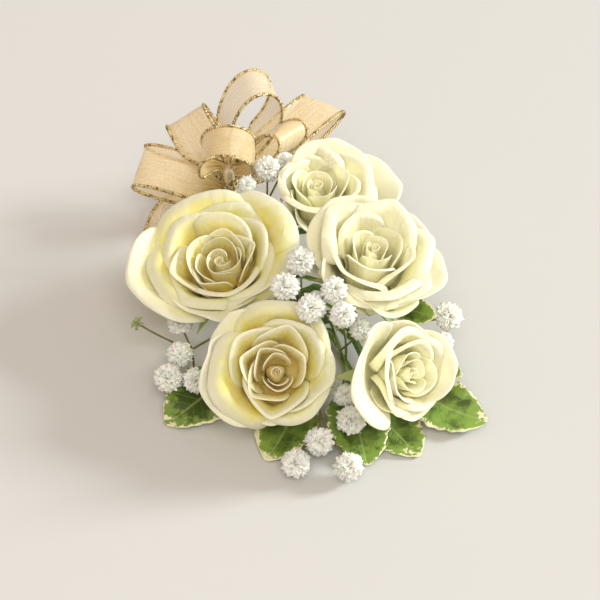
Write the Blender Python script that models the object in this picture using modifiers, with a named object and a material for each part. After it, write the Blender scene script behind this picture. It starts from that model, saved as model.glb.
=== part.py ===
"""A corsage: five cream spray roses, sprigs of baby's breath, variegated leaves and a bow of sheer
gold-edged ribbon, wired and taped to one short bundle of stems that is pressed flat underneath.

Lengths are in millimetres until a mesh is made, which takes metres. The origin is the centre of the
flat underside of the stem bundle. +Z points away from the surface that the corsage lies on, and +Y
points from the rose in front towards the bow.
"""
import math
from collections import namedtuple

import bmesh
import bpy
from mathutils import Matrix, Vector

MM = 0.001
GAP = 0.35                     # clearance between pieces that touch
SEAT_GAP = 0.6                 # the same, where a round stem meets the round bundle
UP = Vector((0.0, 0.0, 1.0))
COLLECTION = "corsage"
CUTTERS = "cutters"

# The stem bundle: a tapered bar wound with floral tape, flat underneath.
BUNDLE_LENGTH = 62.0
BUNDLE_FRONT_RADIUS = 5.4
BUNDLE_BACK_RADIUS = 3.8
BUNDLE_AXIS_HEIGHT = 3.0
BUNDLE_ROUNDING = 1.2
BUNDLE_TURN = math.radians(24.0)      # from +Y towards -X
BUNDLE_WAY = Vector((-math.sin(BUNDLE_TURN), math.cos(BUNDLE_TURN), 0.0))
BUNDLE_SIDE = Vector((math.cos(BUNDLE_TURN), math.sin(BUNDLE_TURN), 0.0))

# Roses. A rose has its own frame: its origin is the top of the hip, z is its axis, x lies as near to
# +X as it can, and angles turn from x. A petal's wall leaves the hip almost flat, steepens to
# the spread angle, and rolls back at the rim.
PETAL_THICK = 0.4
PETAL_COLUMNS = 6
PETAL_ROWS = 5
CLAW_RADIUS = 2.7
CLAW_LIFT = 0.8
CLAW_SHARE = 0.3               # half angle at the claw, as a share of that at the rim
PETAL_START = math.radians(8.0)
PETAL_BEND = 0.5               # share of the length over which the wall steepens
PETAL_ROLL_FROM = 0.58
PETAL_DROP = 0.30              # how much shorter a petal's flanks are than its middle
PETAL_TUCK = 0.75              # each petal lies this far over its neighbour and under the other
PATH_STEPS = 20
HIP_RADIUS = 3.2
HIP_LENGTH = 6.0
ROSE_STEM_RADIUS = 1.1
HEART_CLEARANCE = 1.5

# hip and axis: where the flower sits and looks. turn: where the first guard petal points.
# length, spread, roll, half: of each guard petal. lean: the way in which the flower is more open,
# and by how much. reach: one petal each, as a share of length. cup: the radius of the ball of
# inner petals. along and around: where the stem meets the bundle. Angles are in degrees.
Rose = namedtuple("Rose", "hip axis turn length spread roll half lean reach cup along around")
ROSES = {
    "rose_left": Rose((-14.7, -12.3, 11.9), (-0.15, -0.15, 0.97), 198, 30.0, 54, 55, 60, (180, 3),
                      (1.05, 0.88, 0.9, 0.95, 0.86), 15.5, -6, -50),
    "rose_top": Rose((13.4, 10.3, 20.1), (0.30, -0.20, 0.93), 15, 23.0, 62, 50, 60, (10, 8),
                     (1.15, 1.02, 0.8, 0.8, 0.95), 11.5, 12, 25),
    "rose_front": Rose((0.4, -49.6, 11.6), (-0.10, -0.52, 0.85), 54, 24.5, 60, 55, 60, (200, 2),
                       (0.9, 0.9, 1.0, 0.72, 0.88), 13.0, -25, -40),
    "rose_right": Rose((27.9, -24.9, 23.6), (0.22, -0.14, 0.96), 60, 24.0, 58, 55, 60, (0, 2),
                       (1.0, 1.13, 0.89, 0.85, 1.0), 12.5, -14, 35),
    "rose_low_right": Rose((33.6, -51.5, 14.4), (0.52, -0.53, 0.66), 6, 20.5, 64, 50, 66, (200, 10),
                           (1.0, 0.84, 1.3, 0.78), 10.0, -27, 50),
}

# Leaves. along and around: where the petiole leaves the bundle. middle: the point that bends the
# midrib. length: of the blade, back from the tip. face: the way that the upper side looks.
# fold: how far the two halves are folded up.
LEAF_THICK = 0.5
PETIOLE_ROWS = 3
BLADE_ROWS = 8
MIDRIB_STEPS = 60
PETIOLE_HALF_WIDTH = 0.7
Leaf = namedtuple("Leaf", "along around middle tip length half_width face fold")
LEAVES = {
    "leaf_left": Leaf(-20, -100, (-15, -46, 3), (-32.0, -60.0, 0.8), 28, 10.4, (0.1, 0.0, 1.0), 0.18),
    "leaf_front": Leaf(-29, -95, (14, -48, 3), (-2, -74.0, 0.8), 28, 9.6, (-0.1, -0.1, 1.0), 0.15),
    "leaf_front_right": Leaf(-28, 80, (22, -50, 4.5), (27.9, -76.5, 1.6), 28, 9.4, (0.1, -0.1, 1.0), 0.15),
    "leaf_right_low": Leaf(-23, 108, (25, -50, 1.0), (43.3, -72.3, 0.8), 27, 8.8, (0.0, 0.0, 1.0), 0.08),
    "leaf_right": Leaf(-17, 95, (40, -57, 4.5), (63.7, -60.1, 3.0), 27, 8.9, (0.0, -0.2, 1.0), 0.12),
    "leaf_small_high": Leaf(-4, 55, (34, -27, 17), (48.9, -34.4, 21.0), 15, 4.4, (0.2, -0.6, 0.8), 0.1),
    "leaf_small_low": Leaf(-10, 92, (45, -42, 7), (56.6, -47.8, 9.0), 15, 4.5, (0.2, -0.4, 0.9), 0.12),
    "leaf_rear": Leaf(8, 95, (22, 12, 5), (44.0, 12.0, 0.8), 26, 8.0, (0.0, 0.1, 1.0), 0.15),
}

# Baby's breath. fork: where the twigs part. blooms: x, y, z of each double flower, and its size.
BLOOM_RADIUS = 4.1
SPRIG_RADIUS = 0.6
TWIG_RADIUS = 0.45
FORK_RADIUS = 0.8
Sprig = namedtuple("Sprig", "along around fork blooms")
SPRIGS = {
    "sprig_left": Sprig(-14, -85, (-25, -34, 6),
                        ((-28.5, -30.1, 14, 0.9), (-28.3, -39.8, 10, 0.9), (-31.6, -48.3, 8.5, 1.0),
                         (-23.3, -48.7, 8, 0.9), (-41.6, -30.5, 14, 0.5))),
    "sprig_centre": Sprig(-18, 0, (8.5, -33, 24),
                          ((8.2, -30.3, 40.1, 1.0), (3.5, -38.6, 37.5, 1.0), (11.2, -46.9, 37, 1.0),
                           (18.0, -42.4, 40, 0.9), (20.4, -48.6, 36, 0.9))),
    "sprig_inner_right": Sprig(-26, 25, (20, -42, 14), ((26.0, -46.0, 27, 0.8),)),
    "sprig_right": Sprig(-9, 80, (40, -25, 9),
                         ((53.1, -30.6, 17, 1.0), (40.0, -31.0, 15, 0.6), (51.2, -39.5, 15, 0.7))),
    "sprig_front": Sprig(-30, -15, (14, -61, 7),
                         ((13.6, -71.9, 7, 1.0), (6.8, -78.9, 5, 1.0), (22.2, -80.1, 5, 1.0))),
    "sprig_low": Sprig(-20, 84, (21, -50, 8),
                       ((21.3, -58.3, 12, 0.8), (23.0, -65.5, 9, 1.0), (18.0, -53.0, 9.5, 0.6))),
    "sprig_top": Sprig(16, -20, (-2.5, 18, 20),
                       ((-2.2, 15.5, 36, 0.95), (-8.5, 10.5, 34, 0.65), (3.4, 23.5, 31.5, 0.8))),
}

# The bow. A loop leaves the tie along way, its ribbon lies along across, and it is length long,
# nearly twice bulge deep, and width wide where the gathers have opened out. As they open, its
# middle moves by shift along across.
RIBBON_THICK = 0.35
RIBBON_ROOT = 1.8              # width where the tie gathers the ribbon
RIBBON_GATHER = 13.0           # distance over which the gathers open out
LOOP_SEGMENTS = 22
TIE_CENTRE = Vector((-14.8, 31.7, 16.0))
TIE_RADIUS = 2.2
TIE_HALF_LENGTH = 4.5
TIE_WIRE_RADIUS = 0.9
TIE_FOOT_HEIGHT = 3.2
LOOP_SEARCH_STEP = 0.005       # steps that find where a loop or the tail clears the tie
TAIL_SEARCH_STEP = 0.002
Loop = namedtuple("Loop", "rise way across length bulge width shift")
LOOPS = {
    "bow_loop_left": Loop(-4.0, (-27.0, 4.2, 6.2), (-0.24, -0.884, -0.403), 31, 5.2, 15, 0.0),
    "bow_loop_upper_left": Loop(-1.15, (-13.8, 17.0, 15.6), (0.864, 0.206, 0.459), 27, 4.7, 14, -0.9),
    "bow_loop_top": Loop(2.0, (15.6, 11.8, 26.6), (-0.295, 0.948, -0.116), 30.6, 10.0, 15, 8.9),
    "bow_loop_centre": Loop(4.5, (0.2, -3.0, 21.5), (-0.027, -0.998, -0.05), 22.4, 11.0, 14, 7.2),
    "bow_loop_inner_right": Loop(4.6, (17.8, -1.0, 15.6), (0.647, 0.747, -0.155), 23.3, 5.6, 13, 4.1),
    "bow_loop_right": Loop(-4.0, (32.3, 28.8, 14.7), (0.887, -0.456, -0.07), 44, 4.7, 15, 0.0),
}
TAIL_POINTS = ((-14.8, 31.7, 11.5), (-30.0, 52.0, 9.0), (-38.0, 52.0, 1.0), (-35.0, 10.0, 1.0))
TAIL_ACROSS = ((0.3, 0.9, 0.3), (1.0, 0.1, 0.0))
TAIL_SEGMENTS = 14
TAIL_WIDTH = 15.0


def smooth(value):
    """An S curve from 0 to 1."""
    value = min(1.0, max(0.0, value))
    return value * value * (3.0 - 2.0 * value)


def set_up_collections():
    """Empty the file and make one collection for the pieces and one for the cutters."""
    for old in list(bpy.data.objects):
        bpy.data.objects.remove(old, do_unlink=True)
    for name in (COLLECTION, CUTTERS):
        collection = bpy.data.collections.new(name)
        bpy.context.scene.collection.children.link(collection)


def material(name, color, roughness=0.6, metallic=0.0):
    """A plain finish, made once and shared."""
    found = bpy.data.materials.get(name)
    if found:
        return found
    made = bpy.data.materials.new(name)
    made.use_nodes = True
    shader = made.node_tree.nodes["Principled BSDF"]
    shader.inputs["Base Color"].default_value = (*color, 1.0)
    shader.inputs["Roughness"].default_value = roughness
    shader.inputs["Metallic"].default_value = metallic
    return made


def new_object(name, data, finish=None, collection=COLLECTION):
    """Place mesh or curve data in a collection as a named object."""
    obj = bpy.data.objects.new(name, data)
    bpy.data.collections[collection].objects.link(obj)
    if finish:
        data.materials.append(finish)
    return obj


def finish_mesh(bm, name):
    """Turn a bmesh in millimetres into smooth-shaded mesh data in metres."""
    bmesh.ops.scale(bm, vec=(MM, MM, MM), verts=bm.verts)
    bmesh.ops.recalc_face_normals(bm, faces=bm.faces)
    mesh = bpy.data.meshes.new(name)
    bm.to_mesh(mesh)
    bm.free()
    mesh.shade_smooth()
    return mesh


def sheet(name, rows, thickness, finish):
    """A curved sheet through a grid of points, given an even thickness."""
    bm = bmesh.new()
    grid = [[bm.verts.new(point) for point in row] for row in rows]
    for low, high in zip(grid, grid[1:]):
        for a, b, c, d in zip(low, low[1:], high[1:], high):
            bm.faces.new((a, b, c, d))
    obj = new_object(name, finish_mesh(bm, name), finish)
    solid = obj.modifiers.new("thickness", "SOLIDIFY")
    solid.thickness = thickness * MM
    solid.offset = 0.0
    return obj


def tube(name, points, radii, finish=None, sides=2, collection=COLLECTION):
    """A round bar through points whose radius may change from point to point."""
    curve = bpy.data.curves.new(name, "CURVE")
    curve.dimensions = "3D"
    curve.bevel_depth = MM
    curve.bevel_resolution = sides
    curve.use_fill_caps = True
    spline = curve.splines.new("POLY")
    spline.points.add(len(points) - 1)
    for knot, point, radius in zip(spline.points, points, radii):
        knot.co = (*(Vector(point) * MM), 1.0)
        knot.radius = radius
    return new_object(name, curve, finish, collection)


def tube_mesh(name, points, radii, sides=1):
    """The same bar as a closed mesh that Boolean modifiers can join."""
    bar = tube(name, points, radii, sides=sides, collection=CUTTERS)
    bpy.context.view_layer.update()
    evaluated = bar.evaluated_get(bpy.context.evaluated_depsgraph_get())
    mesh = bpy.data.meshes.new_from_object(evaluated)
    place = bar.matrix_world.copy()
    bpy.data.objects.remove(bar, do_unlink=True)
    bm = bmesh.new()
    bm.from_mesh(mesh)
    bmesh.ops.remove_doubles(bm, verts=bm.verts, dist=0.01 * MM)
    bmesh.ops.recalc_face_normals(bm, faces=bm.faces)
    bm.to_mesh(mesh)
    bm.free()
    mesh.shade_smooth()
    joined = new_object(name + "_bar", mesh, collection=CUTTERS)
    joined.matrix_world = place
    return joined


def as_cutter(obj):
    """Keep a helper solid out of the build and show it as wire."""
    obj.hide_render = True
    obj.display_type = "WIRE"


def join(target, helper):
    """Union a helper solid into a piece."""
    as_cutter(helper)
    union = target.modifiers.new("join_" + helper.name, "BOOLEAN")
    union.operation = "UNION"
    union.object = helper


def bezier(points, share):
    """A point on the Bezier curve that the control points give."""
    points = [Vector(point) for point in points]
    while len(points) > 1:
        points = [a.lerp(b, share) for a, b in zip(points, points[1:])]
    return points[0]


def bezier_points(controls, count):
    """Evenly stepped points on a Bezier curve, both ends included."""
    return [bezier(controls, step / (count - 1)) for step in range(count)]


def bundle_radius(along):
    """Radius of the stem bundle at a distance from its middle."""
    share = 0.5 + along / BUNDLE_LENGTH
    return BUNDLE_FRONT_RADIUS + share * (BUNDLE_BACK_RADIUS - BUNDLE_FRONT_RADIUS)


def on_bundle(along, around):
    """A point just clear of the bundle's surface, and the way out from it there."""
    angle = math.radians(around)
    out = UP * math.cos(angle) + BUNDLE_SIDE * math.sin(angle)
    centre = BUNDLE_WAY * along + UP * BUNDLE_AXIS_HEIGHT
    return centre + out * (bundle_radius(along) + SEAT_GAP), out


def rose_frame(rose):
    """Matrix from a rose's own frame to the corsage's."""
    axis = Vector(rose.axis).normalized()
    side = Vector((1.0, 0.0, 0.0))
    side = (side - axis * side.dot(axis)).normalized()
    back = axis.cross(side)
    frame = Matrix((side, back, axis)).transposed().to_4x4()
    frame.translation = Vector(rose.hip)
    return frame


def petal_path(length, full_length, spread, roll, radius=CLAW_RADIUS, lift=CLAW_LIFT):
    """Points (radius, height, slope) from a petal's claw to its rim, for one strip of the petal."""
    path = []
    step = length / PATH_STEPS
    for index in range(PATH_STEPS + 1):
        share = index / PATH_STEPS
        rise = smooth(share * length / (full_length * PETAL_BEND))
        slope = PETAL_START + (spread - PETAL_START) * rise
        curl = max(0.0, (share - PETAL_ROLL_FROM) / (1.0 - PETAL_ROLL_FROM))
        slope -= roll * curl ** 1.5
        path.append((radius, lift, slope))
        radius += step * math.cos(slope)
        lift += step * math.sin(slope)
    return path


def petal_rows(rose, number):
    """Grid of points of one guard petal, from one flank to the other, in the corsage's frame."""
    count = len(rose.reach)
    turn = math.radians(rose.turn + 360.0 * number / count)
    half = math.radians(rose.half)
    full_length = rose.length * rose.reach[number]
    frame = rose_frame(rose)
    rows = []
    for column in range(PETAL_COLUMNS + 1):
        side = -1.0 + 2.0 * column / PETAL_COLUMNS
        length = full_length * (1.0 - PETAL_DROP * abs(side) ** 4)
        roll = math.radians(rose.roll) * smooth((side + 0.5) / 0.8)
        lean = math.cos(turn + half * side - math.radians(rose.lean[0]))
        spread = math.radians(rose.spread - rose.lean[1] * lean)
        path = petal_path(length, rose.length, spread, roll)
        row = []
        for index in range(PETAL_ROWS + 1):
            share = index / PETAL_ROWS
            radius, height, slope = path[round(share * PATH_STEPS)]
            over = PETAL_TUCK * side
            radius += over * math.sin(slope)
            height -= over * math.cos(slope)
            angle = turn + half * side * (CLAW_SHARE + (1.0 - CLAW_SHARE) * smooth(share / 0.55))
            point = Vector((radius * math.cos(angle), radius * math.sin(angle), height))
            row.append(frame @ point)
        rows.append(row)
    return rows


def build_heart(name, rose, finish):
    """The packed inner petals of one rose, a turned solid with a hollowed top."""
    height = rose.cup * 1.35
    base = CLAW_LIFT + HEART_CLEARANCE
    profile = (
        (0.0, height - 2.5),
        (rose.cup * 0.30, height - 0.5),
        (rose.cup * 0.62, height - 2.5),
        (rose.cup * 0.86, height),
        (rose.cup * 0.94, height - 1.0),
        (rose.cup * 0.98, height * 0.72),
        (rose.cup * 0.86, height * 0.48),
        (rose.cup * 0.55, height * 0.30),
        (rose.cup * 0.22, base),
        (0.0, base),
    )
    bm = bmesh.new()
    points = [bm.verts.new((radius, 0.0, lift)) for radius, lift in profile]
    for first, second in zip(points, points[1:]):
        bm.edges.new((first, second))
    obj = new_object(name, finish_mesh(bm, name), finish)
    turned = obj.modifiers.new("turn", "SCREW")
    turned.steps = 16
    turned.render_steps = 16
    turned.use_merge_vertices = True
    turned.merge_threshold = 0.00001
    frame = rose_frame(rose)
    frame.translation *= MM
    obj.matrix_world = frame
    return obj


def build_rose(name, rose):
    """One rose: its guard petals, its heart, and its hip with the taped stem below."""
    cream = material("petal", (0.87, 0.83, 0.60), 0.5)
    deep = material("heart", (0.80, 0.70, 0.38), 0.5)
    tape = material("floral_tape", (0.22, 0.30, 0.12), 0.7)
    for number in range(len(rose.reach)):
        sheet(f"{name}_petal_{number + 1}", petal_rows(rose, number), PETAL_THICK, cream)
    build_heart(name + "_heart", rose, deep)
    axis = Vector(rose.axis).normalized()
    hip = Vector(rose.hip)
    start, out = on_bundle(rose.along, rose.around)
    neck = hip - axis * HIP_LENGTH
    reach = (neck - start).length * 0.4
    stem = bezier_points((start, start + out * reach, neck - axis * reach * 0.6, neck), 6)
    points = stem + [hip - axis * HIP_LENGTH * share for share in (0.6, 0.3, 0.1, 0.0)]
    radii = [ROSE_STEM_RADIUS] * 6 + [HIP_RADIUS * share for share in (0.7, 0.95, 1.0, 0.85)]
    tube(name + "_stem", points, radii, tape)


def leaf_outline(share):
    """Half width of a blade along its length, as a share of the most: a blunt oval."""
    return math.sin(math.pi * share ** 0.9) ** 0.65 if 0.0 < share < 1.0 else 0.0


def build_leaf(name, leaf):
    """One leaf: a petiole that widens into a blade folded a little along its midrib."""
    start, out = on_bundle(leaf.along, leaf.around)
    face = Vector(leaf.face).normalized()
    midrib = bezier_points((start, start + out * 5.0, leaf.middle, leaf.tip), MIDRIB_STEPS + 1)
    left = [0.0]
    for behind, ahead in zip(reversed(midrib[:-1]), reversed(midrib[1:])):
        left.append(left[-1] + (ahead - behind).length)
    left.reverse()
    joint = next(index for index in range(MIDRIB_STEPS + 1) if left[index] <= leaf.length)
    picks = [round(joint * row / PETIOLE_ROWS) for row in range(PETIOLE_ROWS)]
    picks += [round(joint + (MIDRIB_STEPS - joint) * row / BLADE_ROWS) for row in range(BLADE_ROWS + 1)]
    rows = []
    for pick in picks:
        ahead = midrib[min(pick + 1, MIDRIB_STEPS)] - midrib[max(pick - 1, 0)]
        across = ahead.cross(face).normalized()
        outline = leaf_outline(1.0 - left[pick] / left[joint])
        half_width = max(PETIOLE_HALF_WIDTH, leaf.half_width * outline)
        lift = across.cross(ahead).normalized() * leaf.fold * half_width
        row = []
        for side in (-1.0, -0.5, 0.0, 0.5, 1.0):
            row.append(midrib[pick] + across * half_width * side + lift * abs(side))
        rows.append(row)
    sheet(name, rows, LEAF_THICK, material("leaf", (0.16, 0.30, 0.07), 0.45))


def ball(name, centre, radius, subdivisions=2):
    """A round solid for a bloom or a fork."""
    bm = bmesh.new()
    place = Matrix.Translation(Vector(centre))
    bmesh.ops.create_icosphere(bm, subdivisions=subdivisions, radius=radius, matrix=place)
    return new_object(name, finish_mesh(bm, name), collection=CUTTERS)


def build_sprig(name, sprig):
    """One sprig of baby's breath: a stem, a fork, and a twig to each flower."""
    start, out = on_bundle(sprig.along, sprig.around)
    fork = Vector(sprig.fork)
    reach = (fork - start).length * 0.4
    stem = bezier_points((start, start + out * reach, fork), 5)
    obj = tube_mesh(name, stem, [SPRIG_RADIUS] * 5)
    bpy.data.collections[CUTTERS].objects.unlink(obj)
    bpy.data.collections[COLLECTION].objects.link(obj)
    obj.name = name
    obj.data.materials.append(material("gyp", (0.90, 0.90, 0.86), 0.7))
    join(obj, ball(name + "_fork", fork, FORK_RADIUS, 1))
    for number, (x, y, z, size) in enumerate(sprig.blooms):
        centre = Vector((x, y, z))
        bend = fork.lerp(centre, 0.5) + UP * (centre - fork).length * -0.1
        twig = tube_mesh(f"{name}_twig_{number}", bezier_points((fork, bend, centre), 4),
                         [TWIG_RADIUS] * 4)
        join(obj, twig)
        join(obj, ball(f"{name}_bloom_{number}", centre, BLOOM_RADIUS * size))


def ribbon_width(full_width, opened):
    """Width of a ribbon whose gathers have opened by a share."""
    return RIBBON_ROOT + (full_width - RIBBON_ROOT) * opened


def clear_of_tie(point):
    """Whether a point on the ribbon's middle is far enough from the tie."""
    height = max(-TIE_HALF_LENGTH, min(TIE_HALF_LENGTH, point.z - TIE_CENTRE.z))
    nearest = TIE_CENTRE + UP * height
    return (point - nearest).length >= TIE_RADIUS + GAP + RIBBON_THICK / 2.0


def ribbon_strip(name, path, width, across, shift=0.0):
    """A ribbon along a path, gathered where it starts at the tie. across gives its direction."""
    root = path[0]
    rows = []
    for index, place in enumerate(path):
        way = across(index / (len(path) - 1))
        opened = smooth((place - root).length / RIBBON_GATHER)
        middle = place + way * shift * opened
        half = way * ribbon_width(width, opened) / 2.0
        rows.append([middle - half, middle + half])
    sheet(name, rows, RIBBON_THICK, material("ribbon", (0.86, 0.74, 0.58), 0.4))


def build_loop(name, loop):
    """One loop of the bow: out from the tie, round, and back to it."""
    way = Vector(loop.way).normalized()
    across = Vector(loop.across).normalized()
    depth = across.cross(way).normalized()
    start = TIE_CENTRE + UP * loop.rise

    def outline(angle):
        out = loop.length * (1.0 - math.cos(angle)) / 2.0
        off = loop.bulge * math.sin(angle) * abs(math.sin(angle / 2.0))
        return start + way * out + depth * off

    first = 0.0
    while not clear_of_tie(outline(first)):
        first += LOOP_SEARCH_STEP
    last = 2.0 * math.pi
    while not clear_of_tie(outline(last)):
        last -= LOOP_SEARCH_STEP
    step = (last - first) / LOOP_SEGMENTS
    path = [outline(first + step * index) for index in range(LOOP_SEGMENTS + 1)]
    ribbon_strip(name, path, loop.width, lambda share: across, loop.shift)


def build_tail():
    """The ribbon's loose end, which runs down from the tie and lies under the flowers."""
    first = 0.0
    while not clear_of_tie(bezier(TAIL_POINTS, first)):
        first += TAIL_SEARCH_STEP
    step = (1.0 - first) / TAIL_SEGMENTS
    path = [bezier(TAIL_POINTS, first + step * index) for index in range(TAIL_SEGMENTS + 1)]
    near, far = [Vector(way) for way in TAIL_ACROSS]
    ribbon_strip("bow_tail", path, TAIL_WIDTH, lambda share: near.lerp(far, smooth(share)).normalized())


def build_tie():
    """The wire that gathers the bow, and its foot on the end of the bundle."""
    low = TIE_CENTRE - UP * TIE_HALF_LENGTH
    high = TIE_CENTRE + UP * TIE_HALF_LENGTH
    throat = low - UP * (TIE_RADIUS + TIE_WIRE_RADIUS)
    foot = BUNDLE_WAY * (BUNDLE_LENGTH / 2.0 + GAP) + UP * TIE_FOOT_HEIGHT
    reach = (throat - foot).length * 0.6
    points = bezier_points((foot, foot + BUNDLE_WAY * reach, throat), 5)
    radii = [TIE_WIRE_RADIUS] * 5
    for end, way, shares in ((low, -1.0, (0.9, 0.5, 0.0)), (high, 1.0, (0.0, 0.5, 0.9))):
        for share in shares:
            points.append(end + UP * way * TIE_RADIUS * share)
            radii.append(TIE_RADIUS * math.sqrt(1.0 - share * share))
    tube("bow_tie", points, radii, material("tie", (0.70, 0.55, 0.25), 0.35, 0.8))


def build_bundle():
    """The taped stems: a rounded, tapered bar cut flat at the surface that it lies on."""
    bm = bmesh.new()
    bmesh.ops.create_cone(bm, cap_ends=True, segments=28, radius1=BUNDLE_FRONT_RADIUS,
                          radius2=BUNDLE_BACK_RADIUS, depth=BUNDLE_LENGTH)
    lie = Matrix((BUNDLE_SIDE, -UP, BUNDLE_WAY)).transposed().to_4x4()
    bmesh.ops.transform(bm, matrix=Matrix.Translation(UP * BUNDLE_AXIS_HEIGHT) @ lie, verts=bm.verts)
    obj = new_object("stem_bundle", finish_mesh(bm, "stem_bundle"),
                     material("floral_tape", (0.22, 0.30, 0.12), 0.7))
    rounding = obj.modifiers.new("rounding", "BEVEL")
    rounding.width = BUNDLE_ROUNDING * MM
    rounding.segments = 2
    rounding.limit_method = "ANGLE"
    rounding.angle_limit = math.radians(50.0)
    block = bmesh.new()
    size = 2.0 * BUNDLE_LENGTH
    below = Matrix.Translation(UP * -size / 2.0) @ Matrix.Scale(size, 4)
    bmesh.ops.create_cube(block, size=1.0, matrix=below)
    cutter = new_object("surface_cut", finish_mesh(block, "surface_cut"), collection=CUTTERS)
    as_cutter(cutter)
    cut = obj.modifiers.new("flat", "BOOLEAN")
    cut.operation = "DIFFERENCE"
    cut.object = cutter


def main():
    set_up_collections()
    build_bundle()
    for name, rose in ROSES.items():
        build_rose(name, rose)
    for name, leaf in LEAVES.items():
        build_leaf(name, leaf)
    for name, sprig in SPRIGS.items():
        build_sprig(name, sprig)
    for name, loop in LOOPS.items():
        build_loop(name, loop)
    build_tail()
    build_tie()


main()
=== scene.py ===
"""The looks of a corsage: cream spray roses, baby's breath, variegated leaves and a gold-edged bow.

Laid out as an add-on and run as a script. Shapes are worked out in millimetres in the corsage's own
frame, and meshes are made in metres. The sizes that repeat the solids' are the solids' own.
"""
import math
import random
from collections import namedtuple

import bpy
import numpy as np
from bpy.props import FloatProperty, FloatVectorProperty, PointerProperty
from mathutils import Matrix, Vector


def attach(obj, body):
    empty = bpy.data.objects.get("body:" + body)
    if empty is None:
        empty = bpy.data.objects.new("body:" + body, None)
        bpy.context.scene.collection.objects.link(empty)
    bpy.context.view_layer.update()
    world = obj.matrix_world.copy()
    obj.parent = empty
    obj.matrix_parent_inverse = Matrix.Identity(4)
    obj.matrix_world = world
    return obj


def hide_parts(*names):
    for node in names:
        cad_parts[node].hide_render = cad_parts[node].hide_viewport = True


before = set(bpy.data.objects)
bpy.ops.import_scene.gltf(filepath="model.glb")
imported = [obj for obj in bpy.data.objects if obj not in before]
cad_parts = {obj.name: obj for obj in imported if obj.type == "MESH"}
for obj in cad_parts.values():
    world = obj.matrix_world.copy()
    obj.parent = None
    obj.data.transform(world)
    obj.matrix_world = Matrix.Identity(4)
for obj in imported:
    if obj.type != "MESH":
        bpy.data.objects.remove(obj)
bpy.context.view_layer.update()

bl_info = {
    "name": "Corsage looks",
    "version": (1, 0, 0),
    "blender": (4, 5, 0),
    "location": "View3D > Sidebar > Corsage",
    "description": "Petals, leaves, baby's breath and ribbon on the corsage's frame",
    "category": "Object",
}

MM = 0.001
TUBE_MAP_LENGTH = 10.0
UP = np.array((0.0, 0.0, 1.0))
TAU = 2.0 * math.pi


# ---------------------------------------------------------------- shapes of the pieces

# A rose has its own frame: origin at the top of the hip, z along its axis, x as near to +X as it
# can lie. Guard petals: turn, length, spread, roll, half and reach are the solids' own, and lean
# is so within a few degrees. face: the way the inner petals open.
Rose = namedtuple("Rose", "hip axis face turn length spread roll half lean reach petals")
# An inner petal: turn is its middle's direction and half the angle to either flank. radius and
# height are of the wall's top, where the rim begins; flare is the rim's length, which bends out by
# roll degrees, or in where it is negative. corner: how pointed the middle is. dip: how far the
# flanks drop. skew: how far the left flank lies out and the right one in. warm: the heart's tint.
Petal = namedtuple("Petal", "turn half radius height corner flare roll dip skew warm",
                   defaults=(0.0,))

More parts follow.
